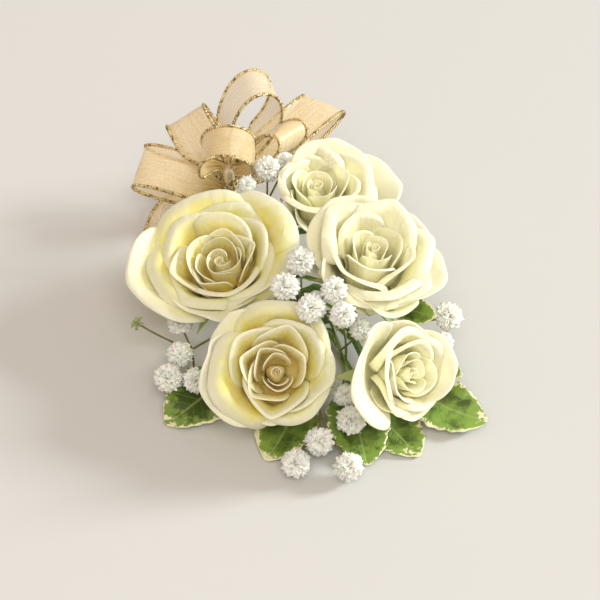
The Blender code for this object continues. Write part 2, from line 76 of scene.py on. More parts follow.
ROSES = {
    "rose_left": Rose(
        (-14.7, -12.3, 11.9), (-0.15, -0.15, 0.97), (-0.10, -0.24, 0.96),
        198, 30.0, 54, 55, 60, (180, 3), (1.05, 0.88, 0.9, 0.95, 0.86),
        (Petal(60, 160, 0.9, 15.2, 0.0, 0.4, 20, 0.3, 0.5, 0.5),
         Petal(250, 140, 2.1, 15.5, 0.0, 0.5, 25, 0.6, 1.1, 0.5),
         Petal(110, 110, 3.4, 15.8, 0.1, 0.6, 20, 1.0, 1.4, 0.45),
         Petal(235, 96, 4.9, 16.0, 0.2, 0.7, 25, 1.4, 1.6, 0.45),
         Petal(330, 90, 5.8, 16.2, 0.1, 0.7, 20, 1.6, 1.5, 0.4),
         Petal(80, 84, 7.0, 16.4, 0.2, 0.7, -20, 2.0, 1.3, 0.4),
         Petal(205, 62, 7.9, 16.6, 0.2, 0.5, 40, 2.4, 0.6, 0.4),
         Petal(80, 60, 9.6, 17.2, 0.35, 0.5, 55, 3.0, 0.4, 0.3),
         Petal(165, 78, 9.9, 17.6, 0.1, 0.6, 60, 3.4, 0.6, 0.3),
         Petal(238, 60, 10.6, 17.4, 0.56, 0.6, 60, 3.8, -0.4, 0.3),
         Petal(20, 66, 10.8, 17.4, 0.56, 0.6, 60, 3.8, 0.5, 0.3),
         Petal(200, 62, 14.8, 18.0, 0.42, 1.0, 70, 4.8, 0.4, 0.1),
         Petal(78, 72, 13.4, 18.4, 0.07, 1.6, 75, 3.8, 3.6, 0.1),
         Petal(35, 64, 14.8, 17.6, 0.14, 1.9, 80, 4.6, 0.8),
         Petal(282, 82, 12.8, 17.0, 0.14, 1.8, 80, 4.2, -0.4, 0.05),
         Petal(135, 66, 15.2, 17.4, 0.1, 4.0, 85, 2.4, 0.5),
         Petal(70, 60, 16.2, 17.4, 0.1, 4.5, 85, 2.4, 0.5),
         Petal(330, 66, 15.0, 16.2, 0.1, 4.0, 90, 2.4, 0.5),
         Petal(235, 62, 15.6, 16.2, 0.2, 4.0, 90, 2.4, 0.5),
         Petal(355, 58, 17.6, 15.6, 0.1, 7.0, 80, 2.4, 0.5),
         Petal(190, 66, 17.0, 16.4, 0.07, 6.0, 95, 2.6, 0.5),
         Petal(110, 66, 18.0, 17.6, 0.07, 7.0, 85, 2.6, 0.6),
         Petal(40, 62, 18.0, 17.0, 0.07, 8.5, 80, 2.6, 0.6),
         Petal(300, 66, 15.0, 14.8, 0.07, 4.0, 95, 2.4, 0.4))),
    "rose_top": Rose(
        (13.4, 10.3, 20.1), (0.30, -0.20, 0.93), (0.0, -0.05, 1.0),
        15, 23.0, 62, 50, 60, (10, 8), (1.15, 1.02, 0.8, 0.8, 0.95),
        (Petal(90, 175, 0.6, 14.4, 0.0, 0.2, 20, 0.2, 0.3, 0.6),
         Petal(0, 165, 1.6, 14.6, 0.0, 0.2, 25, 0.4, 0.6, 0.5),
         Petal(200, 90, 3.2, 15.0, 0.14, 0.3, 40, 0.8, 0.4, 0.5),
         Petal(60, 110, 4.9, 15.4, 0.07, 0.4, 45, 2.3, 0.5, 0.4),
         Petal(300, 80, 6.4, 15.6, 0.21, 0.5, 55, 3.0, 0.3, 0.2),
         Petal(180, 80, 7.6, 16.0, 0.21, 0.8, 70, 3.8, -0.6, 0.1),
         Petal(20, 78, 9.6, 15.8, 0.21, 0.8, 70, 3.8, 0.5, 0.15),
         Petal(110, 72, 10.5, 16.0, 0.35, 1.6, 75, 4.2, 0.5),
         Petal(340, 72, 12.0, 15.4, 0.21, 1.8, 80, 4.6, 0.4),
         Petal(165, 66, 9.8, 15.8, 0.14, 3.0, 85, 2.2, 0.4),
         Petal(95, 62, 13.0, 16.2, 0.7, 4.0, 80, 2.4, 0.4),
         Petal(30, 66, 14.6, 15.2, 0.21, 4.0, 85, 2.4, 0.4),
         Petal(330, 62, 15.0, 14.2, 0.14, 4.5, 90, 2.4, 0.4),
         Petal(250, 70, 10.5, 15.0, 0.14, 3.5, 90, 2.4, 0.3))),
    "rose_front": Rose(
        (0.4, -49.6, 11.6), (-0.10, -0.52, 0.85), (0.06, -0.65, 0.76),
        54, 24.5, 60, 55, 60, (200, 2), (0.9, 0.9, 1.0, 0.72, 0.88),
        (Petal(0, 175, 0.5, 15.0, 0.0, 0.2, 20, 0.2, 0.3, 1.0),
         Petal(90, 170, 1.3, 15.2, 0.0, 0.2, 30, 0.3, 0.5, 1.0),
         Petal(275, 62, 3.9, 15.4, 0.21, 0.3, 40, 0.8, 0.4, 1.0),
         Petal(272, 78, 5.4, 15.8, 0.24, 0.4, 45, 2.7, 0.5, 0.9),
         Petal(100, 72, 5.4, 15.8, 0.35, 0.4, 45, 2.3, -0.6, 0.8),
         Petal(128, 78, 8.0, 16.4, 0.63, 0.5, 50, 3.4, 0.3, 0.6),
         Petal(222, 80, 9.9, 16.8, 0.63, 0.6, 55, 3.8, 0.4, 0.4),
         Petal(30, 72, 9.0, 16.6, 0.42, 0.5, 50, 3.4, 0.3, 0.4),
         Petal(160, 76, 11.0, 17.0, 0.56, 0.6, 55, 4.2, -0.5, 0.2),
         Petal(75, 60, 13.2, 17.0, 0.49, 0.7, 60, 4.8, 0.5, 0.1),
         Petal(262, 84, 12.6, 17.0, 0.59, 1.2, 80, 3.8, 0.3),
         Petal(50, 66, 14.6, 16.8, 0.28, 1.9, 80, 4.6, 0.4),
         Petal(140, 66, 14.0, 16.6, 0.21, 1.0, 70, 4.8, 0.4),
         Petal(195, 70, 14.8, 15.5, 0.14, 6.0, 95, 2.5, 0.5),
         Petal(310, 66, 13.8, 15.2, 0.14, 3.6, 95, 2.5, 0.5),
         Petal(70, 70, 16.5, 14.5, 0.14, 5.0, 95, 2.5, 0.5))),
    "rose_right": Rose(
        (27.9, -24.9, 23.6), (0.22, -0.14, 0.96), (0.12, -0.08, 0.99),
        60, 24.0, 58, 55, 60, (0, 2), (1.0, 1.13, 0.89, 0.85, 1.0),
        (Petal(90, 175, 0.5, 18.2, 0.0, 0.2, 20, 0.2, 0.3, 1.0),
         Petal(0, 160, 1.4, 18.4, 0.0, 0.2, 25, 0.4, 0.5, 0.9),
         Petal(200, 100, 2.6, 18.8, 0.14, 0.3, 35, 0.7, 0.4, 0.8),
         Petal(40, 100, 4.0, 19.0, 0.14, 0.4, 40, 1.0, 0.4, 0.4),
         Petal(280, 80, 5.6, 19.0, 0.21, 0.5, 55, 2.7, 0.4, 0.1),
         Petal(150, 78, 6.6, 19.4, 0.28, 0.6, 60, 3.0, 0.4, 0.1),
         Petal(30, 74, 8.4, 19.2, 0.28, 0.8, 65, 3.4, 0.5),
         Petal(255, 80, 8.8, 18.4, 0.21, 1.4, 70, 3.4, 0.4),
         Petal(120, 66, 10.2, 20.6, 0.3, 2.2, 70, 3.4, 0.4),
         Petal(345, 70, 11.0, 18.2, 0.28, 1.9, 75, 3.8, 0.4),
         Petal(225, 76, 12.2, 16.6, 0.28, 2.1, 75, 4.2, 0.4),
         Petal(72, 66, 12.8, 21.4, 0.5, 4.4, 75, 2.6, 0.3),
         Petal(140, 62, 14.4, 20.6, 0.4, 4.6, 80, 2.6, 0.3),
         Petal(20, 62, 14.6, 16.4, 0.35, 5.0, 85, 2.4, 0.3),
         Petal(290, 72, 14.0, 14.4, 0.21, 4.0, 85, 2.4, 0.3),
         Petal(245, 70, 15.0, 12.5, 0.2, 4.0, 80, 2.4, 0.3),
         Petal(325, 66, 15.5, 12.5, 0.2, 4.0, 80, 2.4, 0.3))),
    "rose_low_right": Rose(
        (33.6, -51.5, 14.4), (0.52, -0.53, 0.66), (0.60, -0.57, 0.57),
        6, 20.5, 64, 50, 66, (200, 13), (1.0, 0.84, 1.3, 0.78),
        (Petal(90, 175, 0.5, 12.6, 0.0, 0.2, 20, 0.2, 0.3, 0.7),
         Petal(0, 160, 1.4, 12.8, 0.0, 0.2, 25, 0.3, 0.5, 0.6),
         Petal(210, 100, 2.8, 13.2, 0.35, 0.3, 35, 0.7, 0.3, 0.5),
         Petal(60, 95, 4.2, 13.4, 0.35, 0.4, 40, 1.0, 0.4, 0.4),
         Petal(270, 85, 5.4, 13.6, 0.28, 0.4, 50, 2.3, 0.4, 0.3),
         Petal(120, 78, 6.4, 13.8, 0.21, 0.6, 60, 2.7, 0.4, 0.2),
         Petal(340, 76, 7.4, 13.6, 0.21, 0.7, 65, 3.0, 0.4, 0.1),
         Petal(215, 76, 8.4, 13.6, 0.21, 1.0, 70, 3.4, 0.4, 0.1),
         Petal(80, 72, 8.8, 13.8, 0.21, 1.8, 75, 3.4, 0.4),
         Petal(185, 66, 10.6, 13.6, 0.21, 2.1, 85, 3.8, 0.4),
         Petal(300, 70, 10.0, 12.8, 0.21, 2.1, 80, 3.8, 0.4),
         Petal(20, 68, 10.4, 13.0, 0.21, 3.2, 80, 2.0, 0.4),
         Petal(110, 66, 11.2, 12.6, 0.14, 3.2, 85, 2.0, 0.4),
         Petal(240, 60, 11.6, 12.4, 0.21, 2.1, 85, 3.8, 0.4))),
}
# How far up the petals the yellow climbs, 1 where a rose isn't named.
YELLOW = {"rose_right": 0.8}
# Painted light: the roses on the lit side have their colours moved this far towards a paler tint, so
# that they look brighter where the light falls on them.
LIT_SIDE_ROSES = ("rose_top", "rose_right", "rose_low_right")
PAINTED_LIGHT_SHARE = 0.85

# Where every petal starts: how far from the axis and above the hip its claw stands, and what share
# of the petal's full angle the claw takes.
CLAW_RADIUS = 2.7
CLAW_LIFT = 0.8
CLAW_SHARE = 0.3
# A guard petal: its slope at the claw, the share of the rose's length that it takes to reach its
# spread, where the roll begins, how far its flanks fall short, and how far they tuck in and out.
PETAL_START = math.radians(8.0)
PETAL_BEND = 0.5
PETAL_ROLL_FROM = 0.58
PETAL_DROP = 0.30
PETAL_TUCK = 0.75
# Its very rim rolls this much further, from this share of its length on.
RIM_FROM = 0.93
RIM_ROLL = math.radians(25.0)
# Its depth below the rim, which sets the deeper yellow with its painted shade, counts for this much,
# because guard petals are paler.
GUARD_DEPTH = 0.6
# An inner petal lies pressed against the bud at a share of its radius, the first for the heart's
# petals and the second for the outer ones, then opens to its rim.
PRESSED = (0.86, 0.70)
OPENING = 2.6
BUD_RADIUS = 2.6
# Its corners are rounded off beyond this share of its half width, by this share of its height.
ROUNDED_FROM = 0.66
ROUNDED_DROP = 0.22
# The inner petals turn towards the rose's face. From this radius on, over this span, they lose up
# to this share of that turn.
FACING_FROM = 12.0
FACING_SPAN = 7.0
FACING_LOSS = 0.6
# The closed bud's yellow with its painted shade, as a depth below the rim.
BUD_DEPTH = 7.0

SEPAL_COUNT = 5
SEPAL_LENGTH = 15.0
SEPAL_WIDTH = 2.3
SEPAL_THICKNESS = 0.3
SEPAL_LOWEST = 0.4
SEPAL_GREEN = 0.8

# Stem bundle, for the ends of twigs and petioles.
BUNDLE_LENGTH = 62.0
BUNDLE_FRONT_RADIUS = 5.4
BUNDLE_BACK_RADIUS = 3.8
BUNDLE_AXIS_HEIGHT = 3.0
BUNDLE_SINK = 0.2
BUNDLE_TURN = math.radians(24.0)
BUNDLE_WAY = np.array((-math.sin(BUNDLE_TURN), math.cos(BUNDLE_TURN), 0.0))
BUNDLE_SIDE = np.array((math.cos(BUNDLE_TURN), math.sin(BUNDLE_TURN), 0.0))

# along and around: where the petiole leaves the bundle, in mm from its middle and in degrees from
# its top. fold: how far the sides rise for their width. green: how light the patches are. cream:
# how wide the margin is.
Leaf = namedtuple("Leaf", "along around middle tip length half_width face fold green cream")
LEAVES = {
    "leaf_left": Leaf(-20, -100, (-15, -46, 3), (-32.0, -60.0, 0.8), 28, 10.4, (0.1, 0.0, 1.0),
                      0.18, 0.0, 0.4),
    "leaf_front": Leaf(-29, -95, (14, -48, 3), (-2, -74.0, 0.8), 28, 9.6, (-0.1, -0.1, 1.0),
                       0.15, 0.5, 0.55),
    "leaf_front_right": Leaf(-28, 80, (22, -50, 4.5), (27.9, -76.5, 1.6), 28, 9.4,
                             (0.1, -0.1, 1.0), 0.15, 0.45, 0.15),
    "leaf_right_low": Leaf(-23, 108, (25, -50, 1.0), (43.3, -72.3, 0.8), 27, 8.8,
                           (0.0, 0.0, 1.0), 0.08, 0.6, 0.45),
    "leaf_right": Leaf(-17, 95, (40, -57, 4.5), (63.7, -60.1, 3.0), 27, 8.9, (0.0, -0.2, 1.0),
                       0.12, 0.8, 0.35),
    "leaf_small_high": Leaf(-4, 55, (34, -27, 17), (48.9, -34.4, 21.0), 15, 4.4,
                            (0.2, -0.6, 0.8), 0.1, 0.8, 0.4),
    "leaf_small_low": Leaf(-10, 92, (45, -42, 7), (56.6, -47.8, 9.0), 15, 4.5, (0.2, -0.4, 0.9),
                           0.12, 0.7, 0.4),
    "leaf_rear": Leaf(8, 95, (22, 12, 5), (44.0, 12.0, 0.8), 26, 8.0, (0.0, 0.1, 1.0),
                      0.15, 0.5, 0.3),
}
LEAF_EXIT = 5.0
MIDRIB_STEPS = 240
PETIOLE_HALF_WIDTH = 0.7

# along and around are as for a leaf. blooms: the place of each flower and its size.
Sprig = namedtuple("Sprig", "along around fork blooms")
SPRIGS = {
    "sprig_left": Sprig(-14, -85, (-25, -34, 6),
                        ((-28.5, -30.1, 14, 0.9), (-28.3, -39.8, 10, 0.9), (-31.6, -48.3, 8.5, 1.0),
                         (-23.3, -48.7, 8, 0.9), (-41.6, -30.5, 14, 0.5))),
    "sprig_centre": Sprig(-18, 0, (8.5, -33, 24),
                          ((8.2, -30.3, 40.1, 1.0), (3.5, -38.6, 37.5, 1.0), (11.2, -46.9, 37, 1.0),
                           (18.0, -42.4, 40, 0.9), (20.4, -48.6, 36, 0.9))),
    "sprig_inner_right": Sprig(-26, 25, (20, -42, 14), ((26.0, -46.0, 27, 0.8),)),
    "sprig_right": Sprig(-9, 80, (40, -25, 9),
                         ((53.1, -30.6, 17, 1.0), (40.0, -31.0, 15, 0.6), (51.2, -39.5, 15, 0.7))),
    "sprig_front": Sprig(-30, -15, (14, -61, 7),
                         ((13.6, -71.9, 7, 1.0), (6.8, -78.9, 5, 1.0), (22.2, -80.1, 5, 1.0))),
    "sprig_low": Sprig(-20, 84, (21, -50, 8),
                       ((21.3, -58.3, 12, 0.8), (23.0, -65.5, 9, 1.0), (18.0, -53.0, 9.5, 0.6))),
    "sprig_top": Sprig(16, -20, (-2.5, 18, 20),
                       ((-2.2, 15.5, 36, 0.95), (-8.5, 10.5, 34, 0.65), (3.4, 23.5, 31.5, 0.8))),
}
# Flowers that are still green buds, by sprig and number.
GREEN_BUDS = {("sprig_left", 4)}
BLOOM_RADIUS = 4.1
BLOOM_PETALS = 88
BLOOM_THICKNESS = 0.12
# Its petals stand out over a ball from its top down, 1 to the ball's middle and 2 to its foot.
BLOOM_COVER = 1.55
BUD_PETALS = 14
BUD_GREEN = 0.85
# The cup under a flower, from foot to top, as shares of the flower's radius.
CALYX = np.array((0.05, 0.2, 0.3, 0.34, 0.32, 0.25, 0.1))
CALYX_GREEN = 0.7
TWIG_POINTS = np.linspace(0.0, 1.0, 14)

# rise: where the loop leaves the tie, over the tie's middle. way and length: where it reaches to.
# across: the ribbon's direction across. bulge: how far the loop opens. shift: how far the ribbon's
# middle moves along across as its gathers open.
Loop = namedtuple("Loop", "rise way across length bulge width shift")
LOOPS = {
    "bow_loop_left": Loop(-4.0, (-27.0, 4.2, 6.2), (-0.24, -0.884, -0.403), 31, 5.2, 15, 0.0),
    "bow_loop_upper_left": Loop(-1.15, (-13.8, 17.0, 15.6), (0.864, 0.206, 0.459), 27, 4.7, 14, -0.9),
    "bow_loop_top": Loop(2.0, (15.6, 11.8, 26.6), (-0.295, 0.948, -0.116), 30.6, 10.0, 15, 8.9),
    "bow_loop_centre": Loop(4.5, (0.2, -3.0, 21.5), (-0.027, -0.998, -0.05), 22.4, 11.0, 14, 7.2),
    "bow_loop_inner_right": Loop(4.6, (17.8, -1.0, 15.6), (0.647, 0.747, -0.155), 23.3, 5.6, 13, 4.1),
    "bow_loop_right": Loop(-4.0, (32.3, 28.8, 14.7), (0.887, -0.456, -0.07), 44, 4.7, 15, 0.0),
}
TAIL_POINTS = ((-14.8, 31.7, 11.5), (-30.0, 52.0, 9.0), (-38.0, 52.0, 1.0), (-35.0, 10.0, 1.0))
TAIL_ACROSS = ((0.3, 0.9, 0.3), (1.0, 0.1, 0.0))
TAIL_WIDTH = 15.0
TIE_CENTRE = np.array((-14.8, 31.7, 16.0))
TIE_RADIUS = 2.2
TIE_HALF_LENGTH = 4.5
TIE_CLEAR = 0.5
# A ribbon leaves the tie this wide and is fully open this far from it.
RIBBON_ROOT = 3.0
RIBBON_GATHER = 13.0
RIBBON_STEP = 1.0
RIBBON_MAP_LENGTH = 15.0
# Its weave looks denser the further the share of its width that is open falls below full.
GATHER_TONE = 1.5
GATHER_FULL = 1.08
# Painted shade: the short loops in the middle of the bow and the left loop get this much more of the
# darker, denser colour of the gathers.
PAINTED_SHADE_LOOPS = {"bow_loop_centre": 0.45, "bow_loop_inner_right": 0.3, "bow_loop_left": 0.1}
# Gold thread along the edges and gold wire round the tie: sides, tone, twist and flatten of a tube.
THREAD_STEP = 0.3
THREAD_ROUND = (6, 0.0, 2.2, 0.16)
WIRE_ROUND = (6, 0.0, 2.4, 0.2)
WIRE_RADIUS = 0.28
WIRE_CLEAR = 0.15
WIRE_TURNS = 9.0
WIRE_HALF_LENGTH = 2.2


# ---------------------------------------------------------------- helpers for points and meshes

def smooth(value):
    """An S curve from 0 to 1."""
    value = np.clip(value, 0.0, 1.0)
    return value * value * (3.0 - 2.0 * value)


def unit(vector):
    vector = np.asarray(vector, float)
    return vector / np.linalg.norm(vector)


def lengths_along(points):
    """How far each point of a path is from its start, along the path."""
    steps = np.linalg.norm(np.diff(points, axis=0), axis=1)
    return np.concatenate(([0.0], np.cumsum(steps)))


def unit_rows(vectors):
    """Each row of an array as a unit vector."""
    return vectors / np.linalg.norm(vectors, axis=1)[:, None]


def bezier(controls, shares):
    """Points on the Bezier curve that the control points give, one for each share."""
    shares = np.asarray(shares, float)[:, None]
    points = [np.asarray(point, float)[None, :] * np.ones_like(shares) for point in controls]
    while len(points) > 1:
        points = [a * (1.0 - shares) + b * shares for a, b in zip(points, points[1:])]
    return points[0]


def place(rose, points, facing=0.0):
    """Points of a rose's own frame in the corsage's frame. facing turns them towards its face."""
    axis = unit(unit(rose.axis) * (1.0 - facing) + unit(rose.face) * facing)
    side = unit(np.array((1.0, 0.0, 0.0)) - axis * axis[0])
    axes = np.array((side, np.cross(axis, side), axis))
    return np.asarray(points) @ axes + np.array(rose.hip)


def on_bundle(along, around):
    """A point on the bundle's surface, and the way out from it there."""
    angle = math.radians(around)
    out = UP * math.cos(angle) + BUNDLE_SIDE * math.sin(angle)
    share = 0.5 + along / BUNDLE_LENGTH
    radius = BUNDLE_FRONT_RADIUS + share * (BUNDLE_BACK_RADIUS - BUNDLE_FRONT_RADIUS)
    return BUNDLE_WAY * along + UP * BUNDLE_AXIS_HEIGHT + out * (radius - BUNDLE_SINK), out


class Skin:
    """Gathers the grids of one piece, with a map of across and along and two values a point."""

    def __init__(self):
        self.points, self.faces, self.maps, self.tones, self.depths = [], [], [], [], []
        self.count = 0

    def grid(self, points, across=None, along=None, tone=0.0, depth=0.0, closed=False):
        """Add a grid of points, rows by columns. along, tone and depth, the distance below the rim,
        are each row's own. closed joins each row's last point to its first."""
        points = np.asarray(points, float)
        rows, columns = points.shape[:2]
        across = np.linspace(0.0, 1.0, columns) if across is None else across
        along = np.linspace(0.0, 1.0, rows) if along is None else along
        maps = np.stack(np.broadcast_arrays(across, along[:, None]), axis=-1)
        index = np.arange(rows * columns).reshape(rows, columns) + self.count
        right = np.roll(index, -1, axis=1) if closed else index[:, 1:]
        left = index if closed else index[:, :-1]
        quads = np.stack((left[:-1], right[:-1], right[1:], left[1:]), axis=-1)
        self.points.append(points.reshape(-1, 3))
        self.faces.append(quads.reshape(-1, 4))
        self.maps.append(maps.reshape(-1, 2))
        for store, value in ((self.tones, tone), (self.depths, depth)):
            value = np.asarray(value, float).reshape(-1, 1)
            store.append(np.broadcast_to(value, (rows, columns)).reshape(-1))
        self.count += rows * columns

    def tube(self, path, radii, sides=6, tone=0.0, twist=0.0, flatten=0.0):
        """Add a round bar along a path. twist and flatten give it the look of two wound strands."""
        path = np.asarray(path, float)
        radii = np.broadcast_to(np.asarray(radii, float), (len(path),))
        ahead = unit_rows(np.gradient(path, axis=0))
        length = lengths_along(path)
        side = np.cross(ahead[0], UP if abs(ahead[0][2]) < 0.9 else (1.0, 0.0, 0.0))
        rings = []
        angles = np.linspace(0.0, TAU, sides, endpoint=False)
        for index, point in enumerate(path):
            side = unit(side - ahead[index] * np.dot(side, ahead[index]))
            other = np.cross(ahead[index], side)
            radius = radii[index] * (1.0 + flatten * np.cos(2.0 * (angles - twist * length[index])))
            rings.append(point + np.outer(radius * np.cos(angles), side)
                         + np.outer(radius * np.sin(angles), other))
        rings.insert(0, np.repeat(path[:1], sides, axis=0))
        rings.append(np.repeat(path[-1:], sides, axis=0))
        length = np.concatenate(([0.0], length, [length[-1]]))
        self.grid(rings, np.arange(sides) / sides, length / TUBE_MAP_LENGTH, tone, closed=True)

    def build(self, name, finish, thickness=0.0, replaces=(), slot=None):
        """Make the piece: its mesh, finish and thickness, and what it rides on and stands for."""
        points = np.concatenate(self.points) * MM
        faces = np.concatenate(self.faces)
        mesh = bpy.data.meshes.new(name)
        mesh.vertices.add(len(points))
        mesh.vertices.foreach_set("co", points.ravel())
        mesh.loops.add(faces.size)
        mesh.loops.foreach_set("vertex_index", faces.ravel())
        mesh.polygons.add(len(faces))
        mesh.polygons.foreach_set("loop_start", np.arange(0, faces.size, 4))
        mesh.update(calc_edges=True)
        maps = mesh.uv_layers.new(name="petal_map")
        maps.data.foreach_set("uv", np.concatenate(self.maps)[faces.ravel()].ravel())
        for key, values in (("tone", self.tones), ("depth", self.depths)):
            mesh.attributes.new(key, "FLOAT", "POINT")
            mesh.attributes[key].data.foreach_set("value", np.concatenate(values))
        mesh.validate()
        mesh.shade_smooth()
        mesh.materials.append(finish)
        piece = bpy.data.objects.new(name, mesh)
        bpy.context.scene.collection.objects.link(piece)
        if thickness:
            solid = piece.modifiers.new("thickness", "SOLIDIFY")
            solid.thickness = thickness * MM
            solid.offset = 0.0
        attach(piece, "root")
        if replaces:
            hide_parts(*replaces)
        return piece


# ---------------------------------------------------------------- shader nodes

def add_node(tree, kind, settings=None, **inputs):
    """Add a node, set its own settings, and set or link its inputs by name."""
    node = tree.nodes.new(kind)
    for key, value in (settings or {}).items():
        setattr(node, key, value)
    for key, value in inputs.items():
        socket = node.inputs[int(key[1:])] if key[0] == "_" else node.inputs[key.replace("_", " ")]
        feed(tree, socket, value)
    return node


def feed(tree, socket, value):
    """Link a socket to the value if it is a socket, or set it."""
    if isinstance(value, bpy.types.NodeSocket):
        tree.links.new(value, socket)
    elif socket.type == "RGBA" and len(value) == 3:
        socket.default_value = (*value, 1.0)
    else:
        socket.default_value = value


def calc(tree, operation, first, second=0.0, third=0.0, clamp=False):
    """A sum on values that change over the surface."""
    settings = {"operation": operation, "use_clamp": clamp}
    return add_node(tree, "ShaderNodeMath", settings, _0=first, _1=second, _2=third).outputs[0]


def blend(tree, mask, first, second, amount=1.0):
    """The second colour over the first, by a mask at full strength or at the amount given."""
    share = mask if amount == 1.0 else calc(tree, "MULTIPLY", mask, amount)
    settings = {"data_type": "RGBA", "blend_type": "MIX", "clamp_factor": True}
    return add_node(tree, "ShaderNodeMix", settings, _0=share, _6=first, _7=second).outputs[2]


def band(tree, value, low, high):
    """A smooth step from 0 to 1 as a value goes from low to high."""
    settings = {"interpolation_type": "SMOOTHSTEP", "clamp": True}
    return add_node(tree, "ShaderNodeMapRange", settings, _0=value, _1=low, _2=high).outputs[0]


def ramp(tree, value, stops):
    """A run of colours along a value."""
    node = add_node(tree, "ShaderNodeValToRGB", Fac=value)
    elements = node.color_ramp.elements
    while len(elements) < len(stops):
        elements.new(1.0)
    for element, (position, color) in zip(elements, stops):
        element.position = position
        element.color = (*color, 1.0)
    return node.outputs[0]


def noise_over(tree, vector, scale, detail, roughness=0.5):
    """Cloudy noise over a vector."""
    return add_node(tree, "ShaderNodeTexNoise", None, Vector=vector, Scale=scale, Detail=detail,
                    Roughness=roughness).outputs[0]


def new_group(name, output, **inputs):
    """A node group that takes a vector and values and gives one value; returns it with its sockets."""
    tree = bpy.data.node_groups.new(name, "ShaderNodeTree")
    tree.interface.new_socket("Vector", in_out="INPUT", socket_type="NodeSocketVector")
    for key, value in inputs.items():
        socket = tree.interface.new_socket(key, in_out="INPUT", socket_type="NodeSocketFloat")
        socket.default_value = value
    tree.interface.new_socket(output, in_out="OUTPUT", socket_type="NodeSocketFloat")
    return (tree, tree.nodes.new("NodeGroupInput").outputs,
            tree.nodes.new("NodeGroupOutput").inputs[output])


def fine_streaks(name):
    """Fine lines drawn out along one direction of a map, as in petals, leaves and cloth."""
    tree, given, lines = new_group(name, "Lines", Across=40.0, Along=2.0, Wander=0.3)
    split = add_node(tree, "ShaderNodeSeparateXYZ", _0=given["Vector"])
    wide = noise_over(tree, given["Vector"], 3.0, 1.0)
    shift = calc(tree, "MULTIPLY", calc(tree, "SUBTRACT", wide, 0.5), given["Wander"])
    across = calc(tree, "MULTIPLY", calc(tree, "ADD", split.outputs[0], shift), given["Across"])
    along = calc(tree, "MULTIPLY", split.outputs[1], given["Along"])
    spread = add_node(tree, "ShaderNodeCombineXYZ", _0=across, _1=along, _2=split.outputs[2])
    noise = noise_over(tree, spread.outputs[0], 1.0, 3.0, 0.6)
    tree.links.new(band(tree, noise, 0.3, 0.7), lines)
    return tree


def soft_patches(name):
    """Patches over a surface, sharper as the softness falls."""
    tree, given, patches = new_group(name, "Patches", Scale=100.0, Level=0.5, Softness=0.15)
    noise = noise_over(tree, given["Vector"], given["Scale"], 4.0, 0.55)
    low = calc(tree, "SUBTRACT", given["Level"], given["Softness"])
    high = calc(tree, "ADD", given["Level"], given["Softness"])
    tree.links.new(band(tree, noise, low, high), patches)
    return tree


def grouped(tree, make, **inputs):
    """Place a node group, which is made the first time, with its own values; returns its output."""
    node = tree.nodes.new("ShaderNodeGroup")
    node.node_tree = bpy.data.node_groups.get(make.__name__) or make(make.__name__)
    for key, value in inputs.items():
        feed(tree, node.inputs[key], value)
    return node.outputs[0]


def new_finish(name, **sockets):
    """A material with its shader's own values set; returns it with its tree and shader."""
    finish = bpy.data.materials.new(name)
    finish.use_nodes = True
    tree = finish.node_tree
    shader = tree.nodes["Principled BSDF"]
    for key, value in sockets.items():
        feed(tree, shader.inputs[key.replace("_", " ")], value)
    return finish, tree, shader


def place_of(tree):
    """Where a point is on its object."""
    return add_node(tree, "ShaderNodeTexCoord").outputs["Object"]


def value_of(tree, key):
    """One of the values that a mesh holds at its points."""
    return add_node(tree, "ShaderNodeAttribute", {"attribute_name": key}).outputs["Fac"]


def map_of(tree):
    """The map of a piece, and its two directions: across and along."""
    maps = add_node(tree, "ShaderNodeUVMap", {"uv_map": "petal_map"}).outputs[0]
    split = add_node(tree, "ShaderNodeSeparateXYZ", _0=maps)
    return maps, split.outputs[0], split.outputs[1]


def sine_wave(tree, value):
    """A sine wave between 0 and 1."""
    return calc(tree, "MULTIPLY_ADD", calc(tree, "SINE", value), 0.5, 0.5)


def paint(tree, shader, color):
    tree.links.new(color, shader.inputs["Base Color"])


def bump(tree, shader, height, strength, distance):
    """Raise a surface by height."""
    node = add_node(tree, "ShaderNodeBump", None, Height=height, Strength=strength,
                    Distance=distance * MM)
    tree.links.new(node.outputs[0], shader.inputs["Normal"])


